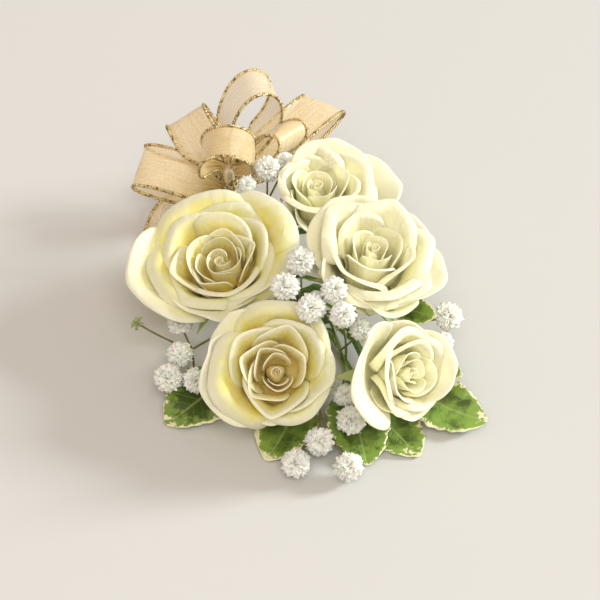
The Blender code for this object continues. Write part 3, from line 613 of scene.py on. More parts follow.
def petal_finish(rose_name):
    """Rose petals: deep yellow at the claw, partly painted shade, cream above, with fine veins and a
    pale rim that is partly painted highlight. The roses on the lit side get paler colours as painted
    light."""
    on_lit_side = rose_name in LIT_SIDE_ROSES
    name = "painted_light_rose_petal" if on_lit_side else "rose_petal"
    if name in bpy.data.materials:
        return bpy.data.materials[name]
    finish, tree, shader = new_finish(name, Roughness=0.55, Subsurface_Weight=0.45,
                                      Subsurface_Scale=0.0014, Subsurface_Radius=(1.0, 1.0, 1.0),
                                      Specular_IOR_Level=0.3, Sheen_Weight=0.15,
                                      Sheen_Roughness=0.4)
    colors = bpy.context.scene.corsage_colors
    # Painted light: the colours of the roses on the lit side are moved towards a paler tint.
    tint = PAINTED_LIGHT_SHARE if on_lit_side else 0.0
    cream, middle, deep, heart, rim_color_and_highlight = (
        tuple(c + tint * (target - c) for c, target in zip(color, colors.petal_painted_light))
        for color in (colors.petal_cream, colors.petal_middle, colors.petal_deep,
                      colors.petal_heart, colors.petal_rim))
    maps, _, _ = map_of(tree)
    spot = place_of(tree)
    wander = calc(tree, "MULTIPLY_ADD", noise_over(tree, spot, 220.0, 2.0), 0.9, 0.55)
    depth = calc(tree, "MULTIPLY", value_of(tree, "depth"), wander)
    # Partly the petals' own yellow base, partly painted shade: the colour turns a deeper, darker
    # yellow with depth below the rim, into the cup.
    depth_yellow_and_shade = calc(tree, "MULTIPLY", depth, 0.083, clamp=True)
    base = ramp(tree, depth_yellow_and_shade, ((0.0, cream), (0.10, cream), (0.40, middle), (0.80, deep),
                                  (1.0, deep)))
    base = blend(tree, value_of(tree, "tone"), base, heart, 0.7)
    patches = grouped(tree, soft_patches, Vector=spot, Scale=90.0, Level=0.55, Softness=0.2)
    base = blend(tree, patches, base, (0.80, 0.87, 0.40), 0.22)
    veins = grouped(tree, fine_streaks, Vector=maps, Across=38.0, Along=2.0, Wander=0.12)
    folds = grouped(tree, fine_streaks, Vector=maps, Across=9.0, Along=1.6, Wander=0.25)
    base = blend(tree, folds, base, (0.97, 0.96, 0.78), 0.35)
    base = blend(tree, veins, base, (0.80, 0.78, 0.34), 0.14)
    # Partly painted highlight: the pale rim is the rims' own paler colour and also the light that the
    # rolled rims catch.
    base = blend(tree, band(tree, depth, 0.7, 0.2), base, rim_color_and_highlight, 0.6)
    paint(tree, shader, base)
    bump(tree, shader, calc(tree, "MULTIPLY_ADD", veins, 0.25, folds), 0.5, 0.3)
    return finish


def leaf_finish(name, green, cream):
    """A variegated leaf: two greens, a cream margin of uneven width, and a vein net."""
    finish, tree, shader = new_finish(name, Roughness=0.42, Coat_Weight=0.12, Coat_Roughness=0.3)
    _, across, along = map_of(tree)
    spot = place_of(tree)
    colors = bpy.context.scene.corsage_colors
    edge = calc(tree, "ABSOLUTE", calc(tree, "MULTIPLY_ADD", across, 2.0, -1.0))
    inward = calc(tree, "SUBTRACT", 1.0, edge)
    tip = calc(tree, "MULTIPLY", calc(tree, "SUBTRACT", 1.0, along), 1.7)
    inward = calc(tree, "MINIMUM", inward, tip)
    wobble = noise_over(tree, spot, 420.0, 3.0, 0.7)
    limit = calc(tree, "MULTIPLY_ADD", wobble, 1.0, -0.36 + 0.30 * (cream - 0.5))
    margin = band(tree, calc(tree, "SUBTRACT", limit, inward), -0.03, 0.05)
    zone = calc(tree, "MULTIPLY_ADD", wobble, 1.1, -0.20)
    light_zone = band(tree, calc(tree, "SUBTRACT", zone, inward), -0.15, 0.12)
    slant = calc(tree, "MULTIPLY_ADD", edge, 0.22, calc(tree, "MULTIPLY", along, -1.0))
    ribs = calc(tree, "ABSOLUTE", calc(tree, "SINE", calc(tree, "MULTIPLY", slant, 30.0)))
    rib = band(tree, ribs, 0.22, 0.0)
    midrib = band(tree, edge, 0.07, 0.01)
    dark = tuple(colors.leaf_dark)
    bright = tuple(a * (1.0 - green) + b * green for a, b in zip(dark, colors.leaf_bright))
    patches = grouped(tree, soft_patches, Vector=spot, Scale=160.0, Level=0.52, Softness=0.12)
    base = blend(tree, patches, dark, bright)
    base = blend(tree, light_zone, base, tuple(colors.leaf_bright), 0.7)
    base = blend(tree, rib, base, (0.30, 0.42, 0.13), 0.18)
    base = blend(tree, midrib, base, (0.40, 0.48, 0.18), 0.45)
    base = blend(tree, margin, base, tuple(colors.leaf_margin))
    paint(tree, shader, base)
    height = calc(tree, "SUBTRACT", calc(tree, "MULTIPLY", patches, 0.2),
                  calc(tree, "MAXIMUM", rib, midrib))
    bump(tree, shader, height, 0.5, 0.25)
    return finish


def stem_finish(name):
    """Thin twigs, olive brown, and greener where the tone is high, as in calyxes and sepals."""
    finish, tree, shader = new_finish(name, Roughness=0.6)
    patches = grouped(tree, soft_patches, Vector=place_of(tree), Scale=300.0, Level=0.5,
                      Softness=0.2)
    base = blend(tree, patches, (0.10, 0.12, 0.035), (0.22, 0.20, 0.07))
    paint(tree, shader, blend(tree, value_of(tree, "tone"), base, (0.42, 0.50, 0.20)))
    bump(tree, shader, patches, 0.3, 0.1)
    return finish


def bloom_finish():
    """Baby's breath petals: white and papery, greyer and greener towards the middle."""
    finish, tree, shader = new_finish("baby_breath", Roughness=0.7, Subsurface_Weight=0.2,
                                      Subsurface_Scale=0.0008, Sheen_Weight=0.1)
    maps, _, along = map_of(tree)
    white = tuple(bpy.context.scene.corsage_colors.bloom_white)
    shade = ramp(tree, along, ((0.0, (0.45, 0.50, 0.30)), (0.35, (0.78, 0.80, 0.70)), (0.7, white),
                               (1.0, white)))
    veins = grouped(tree, fine_streaks, Vector=maps, Across=9.0, Along=1.0, Wander=0.1)
    shade = blend(tree, veins, shade, (0.70, 0.70, 0.66), 0.08)
    paint(tree, shader, blend(tree, value_of(tree, "tone"), shade, (0.26, 0.34, 0.08)))
    bump(tree, shader, veins, 0.3, 0.08)
    return finish


def ribbon_finish():
    """Sheer ribbon: an open weave of pale threads that lets what lies behind show through."""
    finish, tree, shader = new_finish("sheer_ribbon", Roughness=0.38, Sheen_Weight=0.3,
                                      Sheen_Roughness=0.3)
    maps, across, along = map_of(tree)
    tone = value_of(tree, "tone")
    colors = bpy.context.scene.corsage_colors
    warp = grouped(tree, fine_streaks, Vector=maps, Across=26.0, Along=1.2, Wander=0.15)
    threads_across = calc(tree, "SINE", calc(tree, "MULTIPLY", along, TAU * 26.0))
    threads_along = calc(tree, "SINE", calc(tree, "MULTIPLY", across, TAU * 26.0))
    mesh = calc(tree, "MULTIPLY_ADD", calc(tree, "ADD", threads_across, threads_along), 0.25, 0.5)
    moire = sine_wave(tree, calc(tree, "MULTIPLY", noise_over(tree, maps, 1.7, 1.0), 95.0))
    color = blend(tree, warp, tuple(colors.ribbon), tuple(colors.ribbon_light))
    color = blend(tree, moire, color, tuple(colors.ribbon_light), 0.35)
    # The tone mixes in the gathers' colour: a denser weave where the ribbon is gathered, and painted
    # shade on some loops.
    paint(tree, shader, blend(tree, tone, color, tuple(colors.ribbon_gathers_and_shade), 0.85))
    cover = calc(tree, "MULTIPLY_ADD", mesh, 0.22, 0.40)
    cover = calc(tree, "MULTIPLY_ADD", tone, 0.3, cover)
    cover = calc(tree, "MULTIPLY_ADD", moire, 0.10, cover)
    cover = calc(tree, "MULTIPLY_ADD", warp, 0.12, cover, clamp=True)
    shadow = add_node(tree, "ShaderNodeLightPath").outputs["Is Shadow Ray"]
    passing = calc(tree, "MULTIPLY_ADD", shadow, -0.75, 1.0)
    tree.links.new(calc(tree, "MULTIPLY", cover, passing), shader.inputs["Alpha"])
    bump(tree, shader, mesh, 0.3, 0.05)
    return finish


def gold_finish():
    """Twisted gold thread: bright strands with painted shade in the dark spaces between the turns and
    in dark patches, and painted highlight glints.
    """
    finish, tree, shader = new_finish("gold_thread", Metallic=0.6)
    _, across, along = map_of(tree)
    spot = place_of(tree)
    gold = tuple(bpy.context.scene.corsage_colors.gold)
    turns = calc(tree, "MULTIPLY_ADD", along, 88.0, calc(tree, "MULTIPLY", across, TAU * 2.0))
    strand = sine_wave(tree, turns)
    glints = grouped(tree, soft_patches, Vector=spot, Scale=1100.0, Level=0.52, Softness=0.06)
    gap_shade = grouped(tree, soft_patches, Vector=spot, Scale=640.0, Level=0.53, Softness=0.06)
    # Painted shade between the turns and in dark patches, then painted highlight glints.
    base = blend(tree, band(tree, strand, 0.05, 0.6), (0.30, 0.18, 0.035), gold)
    base = blend(tree, gap_shade, base, (0.10, 0.055, 0.01), 0.85)
    paint(tree, shader, blend(tree, glints, base, (0.98, 0.88, 0.55), 0.65))
    rough = calc(tree, "MULTIPLY_ADD", glints, -0.2, 0.5)
    tree.links.new(rough, shader.inputs["Roughness"])
    bump(tree, shader, strand, 0.6, 0.25)
    return finish


def tie_finish():
    """The gathered ribbon under the winding: pleats that run along the tie, with painted shade in a
    darker copy of the ribbon's colour where they fold in.
    """
    finish, tree, shader = new_finish("gathered_ribbon", Roughness=0.45, Sheen_Weight=0.3)
    pleats = grouped(tree, fine_streaks, Vector=place_of(tree), Across=900.0, Along=900.0,
                     Wander=0.002)
    colors = bpy.context.scene.corsage_colors
    # Painted shade: a darker copy of the ribbon's colour in the folds of the pleats.
    between = tuple(0.6 * c for c in colors.ribbon)
    paint(tree, shader, blend(tree, pleats, between, tuple(colors.ribbon_light)))
    bump(tree, shader, pleats, 0.6, 0.3)
    return finish


def tape_finish():
    """Floral tape: green crepe with slanting overlaps and fine creases."""
    finish, tree, shader = new_finish("floral_tape", Roughness=0.7)
    spot = place_of(tree)
    split = add_node(tree, "ShaderNodeSeparateXYZ", _0=spot)
    slant = calc(tree, "MULTIPLY_ADD", split.outputs[1], 620.0,
                 calc(tree, "MULTIPLY", calc(tree, "ADD", split.outputs[0], split.outputs[2]), 260.0))
    laps = calc(tree, "FRACT", slant)
    creases = grouped(tree, fine_streaks, Vector=spot, Across=900.0, Along=5000.0, Wander=0.01)
    base = blend(tree, laps, (0.09, 0.17, 0.04), (0.17, 0.28, 0.08))
    paint(tree, shader, blend(tree, creases, base, (0.24, 0.36, 0.13), 0.4))
    bump(tree, shader, calc(tree, "MULTIPLY_ADD", creases, 0.3, laps), 0.5, 0.25)
    return finish


# ---------------------------------------------------------------- settings

def color_setting(name, description, default):
    return FloatVectorProperty(name=name, description=description, subtype="COLOR",
                               default=default, min=0.0, max=1.0)


def size_setting(name, description, default):
    return FloatProperty(name=name, description=description, default=default, min=0.0001,
                         max=0.001, unit="LENGTH", precision=5)


class CorsageColors(bpy.types.PropertyGroup):
    """Colours of the corsage's pieces."""
    petal_cream: color_setting("Petal cream", "Main colour of the petals", (0.885, 0.885, 0.60))
    # The rim colour is partly painted highlight on the rims.
    petal_rim: color_setting("Petal rim", "Pale rim of the petals", (0.95, 0.93, 0.72))
    # The middle and base yellows are partly the petals' own colour and partly painted shade deeper in
    # the cup.
    petal_middle: color_setting("Petal middle", "Yellow of the petals below the rim",
                                (0.93, 0.88, 0.25))
    petal_deep: color_setting("Petal base", "Deep yellow at the foot of the petals",
                              (0.96, 0.75, 0.05))
    petal_heart: color_setting("Rose heart", "Warm tint of the innermost petals",
                               (0.97, 0.74, 0.33))
    # Painted light: the paler tint of the roses on the lit side.
    petal_painted_light: color_setting("Painted light petals", "Painted light on the roses of the lit side", (0.99, 0.97, 0.64))
    leaf_dark: color_setting("Leaf dark green", "Middle of the leaves", (0.055, 0.095, 0.010))
    leaf_bright: color_setting("Leaf light green", "Lighter patches of the leaves",
                               (0.25, 0.40, 0.065))
    leaf_margin: color_setting("Leaf margin", "Cream margin of the leaves", (0.85, 0.82, 0.52))
    bloom_white: color_setting("Baby's breath", "White of the small flowers", (0.95, 0.94, 0.87))
    ribbon: color_setting("Ribbon", "Sheer ribbon", (0.80, 0.64, 0.34))
    ribbon_light: color_setting("Ribbon threads", "Pale threads of the ribbon", (0.90, 0.78, 0.54))
    # Also the painted shade on the loops in the middle of the bow and the left loop.
    ribbon_gathers_and_shade: color_setting("Ribbon gathers", "Ribbon where it is gathered",
                                  (0.58, 0.42, 0.15))
    gold: color_setting("Gold thread", "Thread along the ribbon's edges", (0.88, 0.66, 0.27))
    floor: color_setting("Floor", "Plain floor", (0.61, 0.615, 0.60))


class CorsageSizes(bpy.types.PropertyGroup):
    """Sizes that a user may change."""
    petal_thickness: size_setting("Petal thickness", "Thickness of a rose petal", 0.00018)
    leaf_thickness: size_setting("Leaf thickness", "Thickness of a leaf", 0.00035)
    thread_radius: size_setting("Gold thread radius", "Radius of the thread on the ribbon's edges",
                                0.00055)
    twig_radius: size_setting("Twig radius", "Radius of baby's breath twigs", 0.00032)


# ---------------------------------------------------------------- roses

def summed(slope, step):
    """How far a petal goes out and up from its first row, as its rows follow a slope by steps."""
    middle = (slope[1:] + slope[:-1]) / 2.0
    start = np.zeros_like(slope[:1])
    return (np.concatenate((start, np.cumsum(step * np.cos(middle), axis=0))),
            np.concatenate((start, np.cumsum(step * np.sin(middle), axis=0))))


def ring_points(radius, angle, height):
    """Points from their distance to the axis, their turn about it and their height."""
    radius, angle, height = np.broadcast_arrays(radius, angle, height)
    return np.stack((radius * np.cos(angle), radius * np.sin(angle), height), axis=-1)


def guard_grid(rose, number, columns=34, rows=26):
    """Points of one guard petal in the rose's frame, rim last, with each row's share of the length
    and its depth below the rim."""
    rng = random.Random(f"{rose.hip} {number}")
    count = len(rose.reach)
    turn = math.radians(rose.turn + 360.0 * number / count)
    half = math.radians(rose.half)
    full = rose.length * rose.reach[number]
    side = np.linspace(-1.0, 1.0, columns + 1)[None, :]
    share = (np.linspace(0.0, 1.0, rows + 1) ** 0.85)[:, None]
    tip = 0.035 * np.exp(-(side / 0.16) ** 2)
    length = full * (1.0 - PETAL_DROP * np.abs(side) ** 4 + tip)
    roll = math.radians(rose.roll) * smooth((side + 0.5) / 0.8)
    lean = np.cos(turn + half * side - math.radians(rose.lean[0]))
    spread = np.radians(rose.spread - rose.lean[1] * lean)
    rise = smooth(share * length / (rose.length * PETAL_BEND))
    curl = np.clip((share - PETAL_ROLL_FROM) / (1.0 - PETAL_ROLL_FROM), 0.0, None) ** 1.5
    rim = np.clip((share - RIM_FROM) / (1.0 - RIM_FROM), 0.0, None) ** 1.5
    slope = PETAL_START + (spread - PETAL_START) * rise - roll * curl - RIM_ROLL * rim
    wave = rng.uniform(0.0, TAU)
    ruffle = share ** 3 * (np.sin(side * 3.1 + wave) * 0.12 + np.sin(side * 7.0 + 2.0 * wave) * 0.08
                           + np.sin(side * 15.0 + wave) * 0.05 * share ** 4)
    slope = slope + ruffle
    outward, upward = summed(slope, np.diff(share, axis=0) * length)
    over = PETAL_TUCK * side
    radius = CLAW_RADIUS + outward + over * np.sin(slope)
    height = CLAW_LIFT + upward - over * np.cos(slope)
    angle = turn + half * side * (CLAW_SHARE + (1.0 - CLAW_SHARE) * smooth(share / 0.55))
    return ring_points(radius, angle, height), share[:, 0], GUARD_DEPTH * full * (1.0 - share[:, 0])


def inner_grid(rose, petal, rows=30):
    """Points of one inner petal in the rose's frame, rim last, with each row's share of the length
    and its depth below the rim."""
    rng = random.Random(f"{rose.hip} {petal}")
    columns = 2 * int(8 + petal.half * petal.radius / 45.0)
    half = math.radians(petal.half)
    side = np.linspace(-1.0, 1.0, columns + 1)[None, :]
    away = np.sqrt((side * half) ** 2 + 0.10 ** 2) - 0.10
    facet = math.radians(45.0)
    corner = math.cos(facet) / np.cos(facet - np.minimum(away, facet))
    wave = rng.uniform(0.0, TAU)
    corners = np.clip((np.abs(side) - ROUNDED_FROM) / (1.0 - ROUNDED_FROM), 0.0, None)
    drop = petal.dip * np.abs(side) ** 2.2 + ROUNDED_DROP * petal.height * corners ** 2
    ruffle = (0.15 + 0.03 * petal.flare) * np.sin(side * 4.0 + 2.0 * wave)
    rim_height = petal.height - drop + ruffle
    rim_radius = petal.radius * (1.0 + petal.corner * (corner - 1.0)) + petal.skew * side
    rim_radius = rim_radius * (1.0 + 0.02 * np.sin(side * 5.0 + wave))
    rim_radius = rim_radius * (1.0 - 0.35 * drop / petal.height)
    wall_length = 1.1 * petal.height + 0.4 * petal.radius
    top = wall_length / (wall_length + petal.flare)
    wall_rows = int(rows * 0.6)
    share = np.concatenate((np.linspace(0.0, 1.0, wall_rows + 1) ** 0.8 * top,
                            np.linspace(top, 1.0, rows - wall_rows + 1)[1:]))[:, None]
    wall = np.minimum(share / top, 1.0)
    base_radius = min(CLAW_RADIUS, 0.4 * petal.radius)
    base_height = CLAW_LIFT + 0.4
    outer = float(smooth((petal.radius - 6.0) / 8.0))
    hug = PRESSED[0] + (PRESSED[1] - PRESSED[0]) * outer if petal.roll > 0.0 else 1.0
    pressed = rim_radius * hug
    radius = (base_radius + (pressed - base_radius) * smooth(wall / 0.4)
              + (rim_radius - pressed) * wall ** OPENING)
    height = base_height + (rim_height - base_height) * wall
    beyond = np.clip((share - top) / (1.0 - top), 0.0, 1.0)
    slope = np.arctan2(rim_height - base_height, (rim_radius - pressed) * OPENING)
    roll = math.radians(petal.roll) * (0.85 + 0.3 * np.abs(side) + 0.12 * np.sin(side * 3.0 + wave))
    bend = slope - roll * (1.0 - (1.0 - beyond) ** 1.8)
    bend = bend + 0.16 * beyond * np.sin(side * 7.0 + wave) * min(1.0, petal.flare / 4.0)
    outward, upward = summed(bend, np.diff(beyond, axis=0) * petal.flare)
    narrow = 1.0 - 0.14 * beyond ** 2 * min(1.0, petal.flare / 3.0)
    angle = math.radians(petal.turn) + half * side * narrow * (
        CLAW_SHARE + (1.0 - CLAW_SHARE) * smooth(share / 0.4))
    depth = (wall_length + petal.flare) * (1.0 - share[:, 0])
    return ring_points(radius + outward, angle, height + upward), share[:, 0], depth


def bud_grid(rose):
    """Points of the closed bud in the heart of a rose, in the rose's frame."""
    top = 0.86 * rose.petals[0].height
    turn = np.linspace(0.0, TAU, 18, endpoint=False)[None, :]
    share = np.linspace(0.0, 1.0, 12)[:, None]
    radius = BUD_RADIUS * np.sqrt(np.clip(1.0 - share ** 4, 0.0, 1.0))
    radius = radius * (1.0 + 0.12 * np.sin(turn * 3.0))
    return ring_points(radius, turn, CLAW_LIFT + top * share)


def sepal_grid(rose, number):
    """Points of one sepal below the flower, in the corsage's frame and kept off the floor."""
    turn = math.radians(rose.turn + 360.0 * (number + 0.5) / SEPAL_COUNT)
    side = np.linspace(-1.0, 1.0, 7)[None, :]
    share = np.linspace(0.0, 1.0, 12)[:, None]
    reach = SEPAL_LENGTH * share
    droop = -0.6 - 1.2 * share - 3.0 * share ** 2
    outline = np.sin(math.pi * np.clip(share * 0.8 + 0.12, 0.0, 1.0)) ** 1.2 * (1.0 - share ** 3)
    width = SEPAL_WIDTH * outline
    along = np.array((math.cos(turn), math.sin(turn), 0.0))
    across = np.array((-math.sin(turn), math.cos(turn), 0.0))
    fold = 0.2 * np.abs(side) * width
    points = (along * (2.2 + reach)[..., None] + across * (side * width)[..., None]
              + UP * (droop + fold)[..., None])
    points = place(rose, points)
    points[..., 2] = np.maximum(points[..., 2], SEPAL_LOWEST)
    return points


class CORSAGE_OT_guard_petals(bpy.types.Operator):
    """Make the wide outer petals of each rose"""
    bl_idname = "corsage.guard_petals"
    bl_label = "Guard Petals"

    def execute(self, context):
        thickness = context.scene.corsage_sizes.petal_thickness / MM
        for name, rose in ROSES.items():
            yellow = YELLOW.get(name, 1.0)
            for number in range(len(rose.reach)):
                points, along, depth = guard_grid(rose, number)
                skin = Skin()
                skin.grid(place(rose, points), along=along, depth=depth * yellow)
                node = f"{name}_petal_{number + 1}"
                skin.build("guard_" + node, petal_finish(name), thickness, (node,), "petal")
        return {"FINISHED"}


class CORSAGE_OT_inner_petals(bpy.types.Operator):
    """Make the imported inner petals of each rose"""
    bl_idname = "corsage.inner_petals"
    bl_label = "Inner Petals"

    def execute(self, context):
        thickness = context.scene.corsage_sizes.petal_thickness / MM
        for name, rose in ROSES.items():
            yellow = YELLOW.get(name, 1.0)
            skin = Skin()
            for petal in rose.petals:
                points, along, depth = inner_grid(rose, petal)
                facing = 1.0 - FACING_LOSS * float(smooth((petal.radius - FACING_FROM) / FACING_SPAN))
                skin.grid(place(rose, points, facing), along=along, tone=petal.warm,
                          depth=depth * yellow)
            skin.grid(place(rose, bud_grid(rose), 1.0), tone=rose.petals[0].warm,
                      depth=BUD_DEPTH * yellow, closed=True)
            skin.build(name + "_inner_petals", petal_finish(name), thickness, (name + "_heart",),
                       "heart")
        return {"FINISHED"}


class CORSAGE_OT_sepals(bpy.types.Operator):
    """Make the green sepals under each rose"""
    bl_idname = "corsage.sepals"
    bl_label = "Sepals"

    def execute(self, context):
        finish = stem_finish("sepal")
        for name, rose in ROSES.items():
            skin = Skin()
            for number in range(SEPAL_COUNT):
                skin.grid(sepal_grid(rose, number), tone=SEPAL_GREEN)
            skin.build(name + "_sepals", finish, SEPAL_THICKNESS, (), "leaf")
        return {"FINISHED"}


# ---------------------------------------------------------------- leaves

def leaf_grid(leaf, rng):
    """Points of one leaf: its petiole, then its blade with a toothed, wavy margin."""
    start, out = on_bundle(leaf.along, leaf.around)
    face = unit(leaf.face)
    midrib = bezier((start, start + out * LEAF_EXIT, leaf.middle, leaf.tip),
                    np.linspace(0.0, 1.0, MIDRIB_STEPS + 1))
    left = lengths_along(midrib[::-1])[::-1]
    joint = int(np.argmax(left <= leaf.length))
    picks = np.concatenate((np.linspace(0, joint, 10)[:-1], np.linspace(joint, MIDRIB_STEPS, 56)))
    picks = np.round(picks).astype(int)
    ahead = np.gradient(midrib, axis=0)[picks]
    across = unit_rows(np.cross(ahead, face))
    upward = unit_rows(np.cross(across, ahead))
    share = np.clip(1.0 - left[picks] / left[joint], 0.0, 1.0)
    outline = np.sin(math.pi * share ** 0.9) ** 0.65
    outline = np.where((share > 0.0) & (share < 1.0), outline, 0.0)
    side = np.linspace(-1.0, 1.0, 17)[None, :]
    phase = rng.uniform(0.0, TAU)
    teeth = 1.0 + 0.030 * np.sin(share * 58.0 + phase) + 0.045 * np.sin(share * 21.0 + 2.0 * phase)
    width = np.maximum(PETIOLE_HALF_WIDTH, leaf.half_width * outline * teeth)
    lift = leaf.fold * width[:, None] * np.abs(side)
    ripple = 0.05 * width[:, None] * np.abs(side) ** 2 * np.sin(share[:, None] * 17.0 + side * 1.5
                                                                + phase)
    quilt = -0.018 * leaf.half_width * np.abs(np.sin((np.abs(side) * 0.22 - share[:, None]) * 15.0))
    quilt = quilt * (outline[:, None] > 0.3)
    points = (midrib[picks][:, None, :] + across[:, None, :] * (width[:, None] * side)[..., None]
              + upward[:, None, :] * (lift + ripple + quilt)[..., None])
    return points, share


class CORSAGE_OT_leaves(bpy.types.Operator):
    """Make the variegated leaves"""
    bl_idname = "corsage.leaves"
    bl_label = "Leaves"

    def execute(self, context):
        thickness = context.scene.corsage_sizes.leaf_thickness / MM
        for name, leaf in LEAVES.items():
            points, share = leaf_grid(leaf, random.Random(name))
            skin = Skin()
            skin.grid(points, along=share)
            finish = leaf_finish(name + "_variegated", leaf.green, leaf.cream)
            skin.build(name + "_blade", finish, thickness, (name,), "leaf")
        return {"FINISHED"}


# ---------------------------------------------------------------- baby's breath

def add_bloom(skin, centre, radius, facing, rng, green):
    """One double flower: many small ruffled petals that stand out from its middle."""
    count = BUD_PETALS if green else BLOOM_PETALS
    golden = math.pi * (3.0 - math.sqrt(5.0))
    side_way = unit(np.cross(facing, (0.3, 1.0, 0.2)))
    other = np.cross(facing, side_way)
    for index in range(count):
        polar = math.acos(1.0 - (index + 0.5) / count * BLOOM_COVER)
        turn = index * golden + rng.uniform(-0.2, 0.2)
        out = facing * math.cos(polar) + (side_way * math.cos(turn)
                                          + other * math.sin(turn)) * math.sin(polar)
        flat = unit(np.cross(out, facing) + 0.35 * np.array([rng.uniform(-1, 1) for _ in range(3)]))
        normal = unit(np.cross(out, flat))
        length = radius * rng.uniform(0.82, 1.02) * (0.78 + 0.22 * math.sin(polar))
        width = radius * rng.uniform(0.30, 0.44) * (0.75 if green else 1.0)
        share = np.linspace(0.0, 1.0, 5)[:, None]
        side = np.linspace(-1.0, 1.0, 5)[None, :]
        notch = 1.0 - 0.16 * share * np.exp(-(side / 0.3) ** 2) + 0.05 * np.sin(side * 9.0)
        bend = rng.uniform(0.05, 0.35) * share ** 2
        ruffle = 0.16 * share ** 2 * np.sin(side * 4.6 + rng.uniform(0.0, TAU))
        spread = width * (0.15 + 0.95 * share ** 0.8) * (1.0 - 0.25 * share ** 6)
        points = (centre + out * (length * share * notch)[..., None]
                  + flat * (spread * side)[..., None]
                  + normal * (radius * (bend + ruffle))[..., None])
        skin.grid(points, along=share[:, 0], tone=BUD_GREEN if green else 0.0)


class CORSAGE_OT_baby_breath(bpy.types.Operator):
    """Make the sprigs of baby's breath: twigs, calyxes and double flowers"""
    bl_idname = "corsage.baby_breath"
    bl_label = "Baby's Breath"

    def execute(self, context):
        twig_radius = context.scene.corsage_sizes.twig_radius / MM
        bloom, twig = bloom_finish(), stem_finish("twig")
        for name, sprig in SPRIGS.items():
            rng = random.Random(name)
            start, out = on_bundle(sprig.along, sprig.around)
            fork = np.array(sprig.fork, float)
            reach = np.linalg.norm(fork - start) * 0.4
            stems, flowers = Skin(), Skin()
            stems.tube(bezier((start, start + out * reach, fork), TWIG_POINTS),
                       np.linspace(1.6, 1.1, len(TWIG_POINTS)) * twig_radius)
            for number, (x, y, z, size) in enumerate(sprig.blooms):
                centre = np.array((x, y, z), float)
                span = np.linalg.norm(centre - fork)
                bend = (fork + centre) / 2.0 - UP * span * 0.1
                path = bezier((fork, bend, centre), TWIG_POINTS)
                radius = BLOOM_RADIUS * size
                stems.tube(path, np.linspace(1.15, 0.9, len(TWIG_POINTS)) * twig_radius)
                facing = unit(unit(centre - path[-3]) + UP * 0.8 + np.array((0.0, -0.4, 0.0)))
                green = (name, number) in GREEN_BUDS
                add_bloom(flowers, centre, radius * 1.06, facing, rng, green)
                foot = centre - facing * radius * 0.75
                cup = (foot - facing * 0.3, foot + facing * 0.5, centre)
                stems.tube(bezier(cup, np.linspace(0.0, 1.0, len(CALYX))), radius * CALYX, 8,
                           CALYX_GREEN)
            flowers.build(name + "_flowers", bloom, BLOOM_THICKNESS, (name,), "gyp")
            stems.build(name + "_twigs", twig, 0.0, (), "leaf")
        return {"FINISHED"}


# ---------------------------------------------------------------- bow

def clear_of_tie(point):
    """Whether a point is outside the tie."""
    height = np.clip(point[2] - TIE_CENTRE[2], -TIE_HALF_LENGTH, TIE_HALF_LENGTH)
    nearest = TIE_CENTRE + UP * height
    return np.linalg.norm(point - nearest) >= TIE_RADIUS + TIE_CLEAR


def trimmed(points):
    """The stretch of a path that is clear of the tie."""
    clear = [index for index, point in enumerate(points) if clear_of_tie(point)]
    return points[clear[0]:clear[-1] + 1]


def evenly(points, step):
    """Points at even distances along a path."""
    length = lengths_along(points)
    count = max(8, int(length[-1] / step))
    where = np.linspace(0.0, length[-1], count + 1)
    return np.stack([np.interp(where, length, points[:, axis]) for axis in range(3)], axis=1), where


def ribbon_grid(path, where, across, width, shift, gathers_at_end):
    """Points of a ribbon along a path, gathered in pleats where the tie holds it."""
    from_root = np.linalg.norm(path - path[0], axis=1)
    if not gathers_at_end:
        from_root = np.maximum(from_root, where)
    opened = smooth(from_root / RIBBON_GATHER)[:, None]
    half = (RIBBON_ROOT + (width - RIBBON_ROOT) * opened) / 2.0
    side = np.linspace(-1.0, 1.0, 25)[None, :]
    ahead = unit_rows(np.gradient(path, axis=0))
    normal = unit_rows(np.cross(ahead, across))
    pleat = (1.0 - opened) * 0.85 * np.sin(side * 11.0 + 0.6)
    sway = 0.22 * opened * np.sin(side * 2.3 + where[:, None] * 0.12)
    return (path[:, None, :] + across[:, None, :] * (half * side + shift * opened)[..., None]
            + normal[:, None, :] * (pleat + sway)[..., None])


def loop_path(loop):
    """The middle line of one loop, and its ribbon's direction across."""
    way, across = unit(loop.way), unit(loop.across)
    depth = unit(np.cross(across, way))
    start = TIE_CENTRE + UP * loop.rise
    angle = np.linspace(0.0, TAU, 721)[:, None]
    out = loop.length * (1.0 - np.cos(angle)) / 2.0
    off = loop.bulge * np.sin(angle) * np.abs(np.sin(angle / 2.0))
    path, where = evenly(trimmed(start + way * out + depth * off), RIBBON_STEP)
    return path, where, np.repeat(across[None, :], len(path), axis=0)


def tail_path():
    """The middle line of the loose end, and its ribbon's direction across."""
    path, where = evenly(trimmed(bezier(TAIL_POINTS, np.linspace(0.0, 1.0, 400))), RIBBON_STEP)
    near, far = np.array(TAIL_ACROSS)
    share = smooth(where / where[-1])[:, None]
    return path, where, unit_rows(near * (1.0 - share) + far * share)


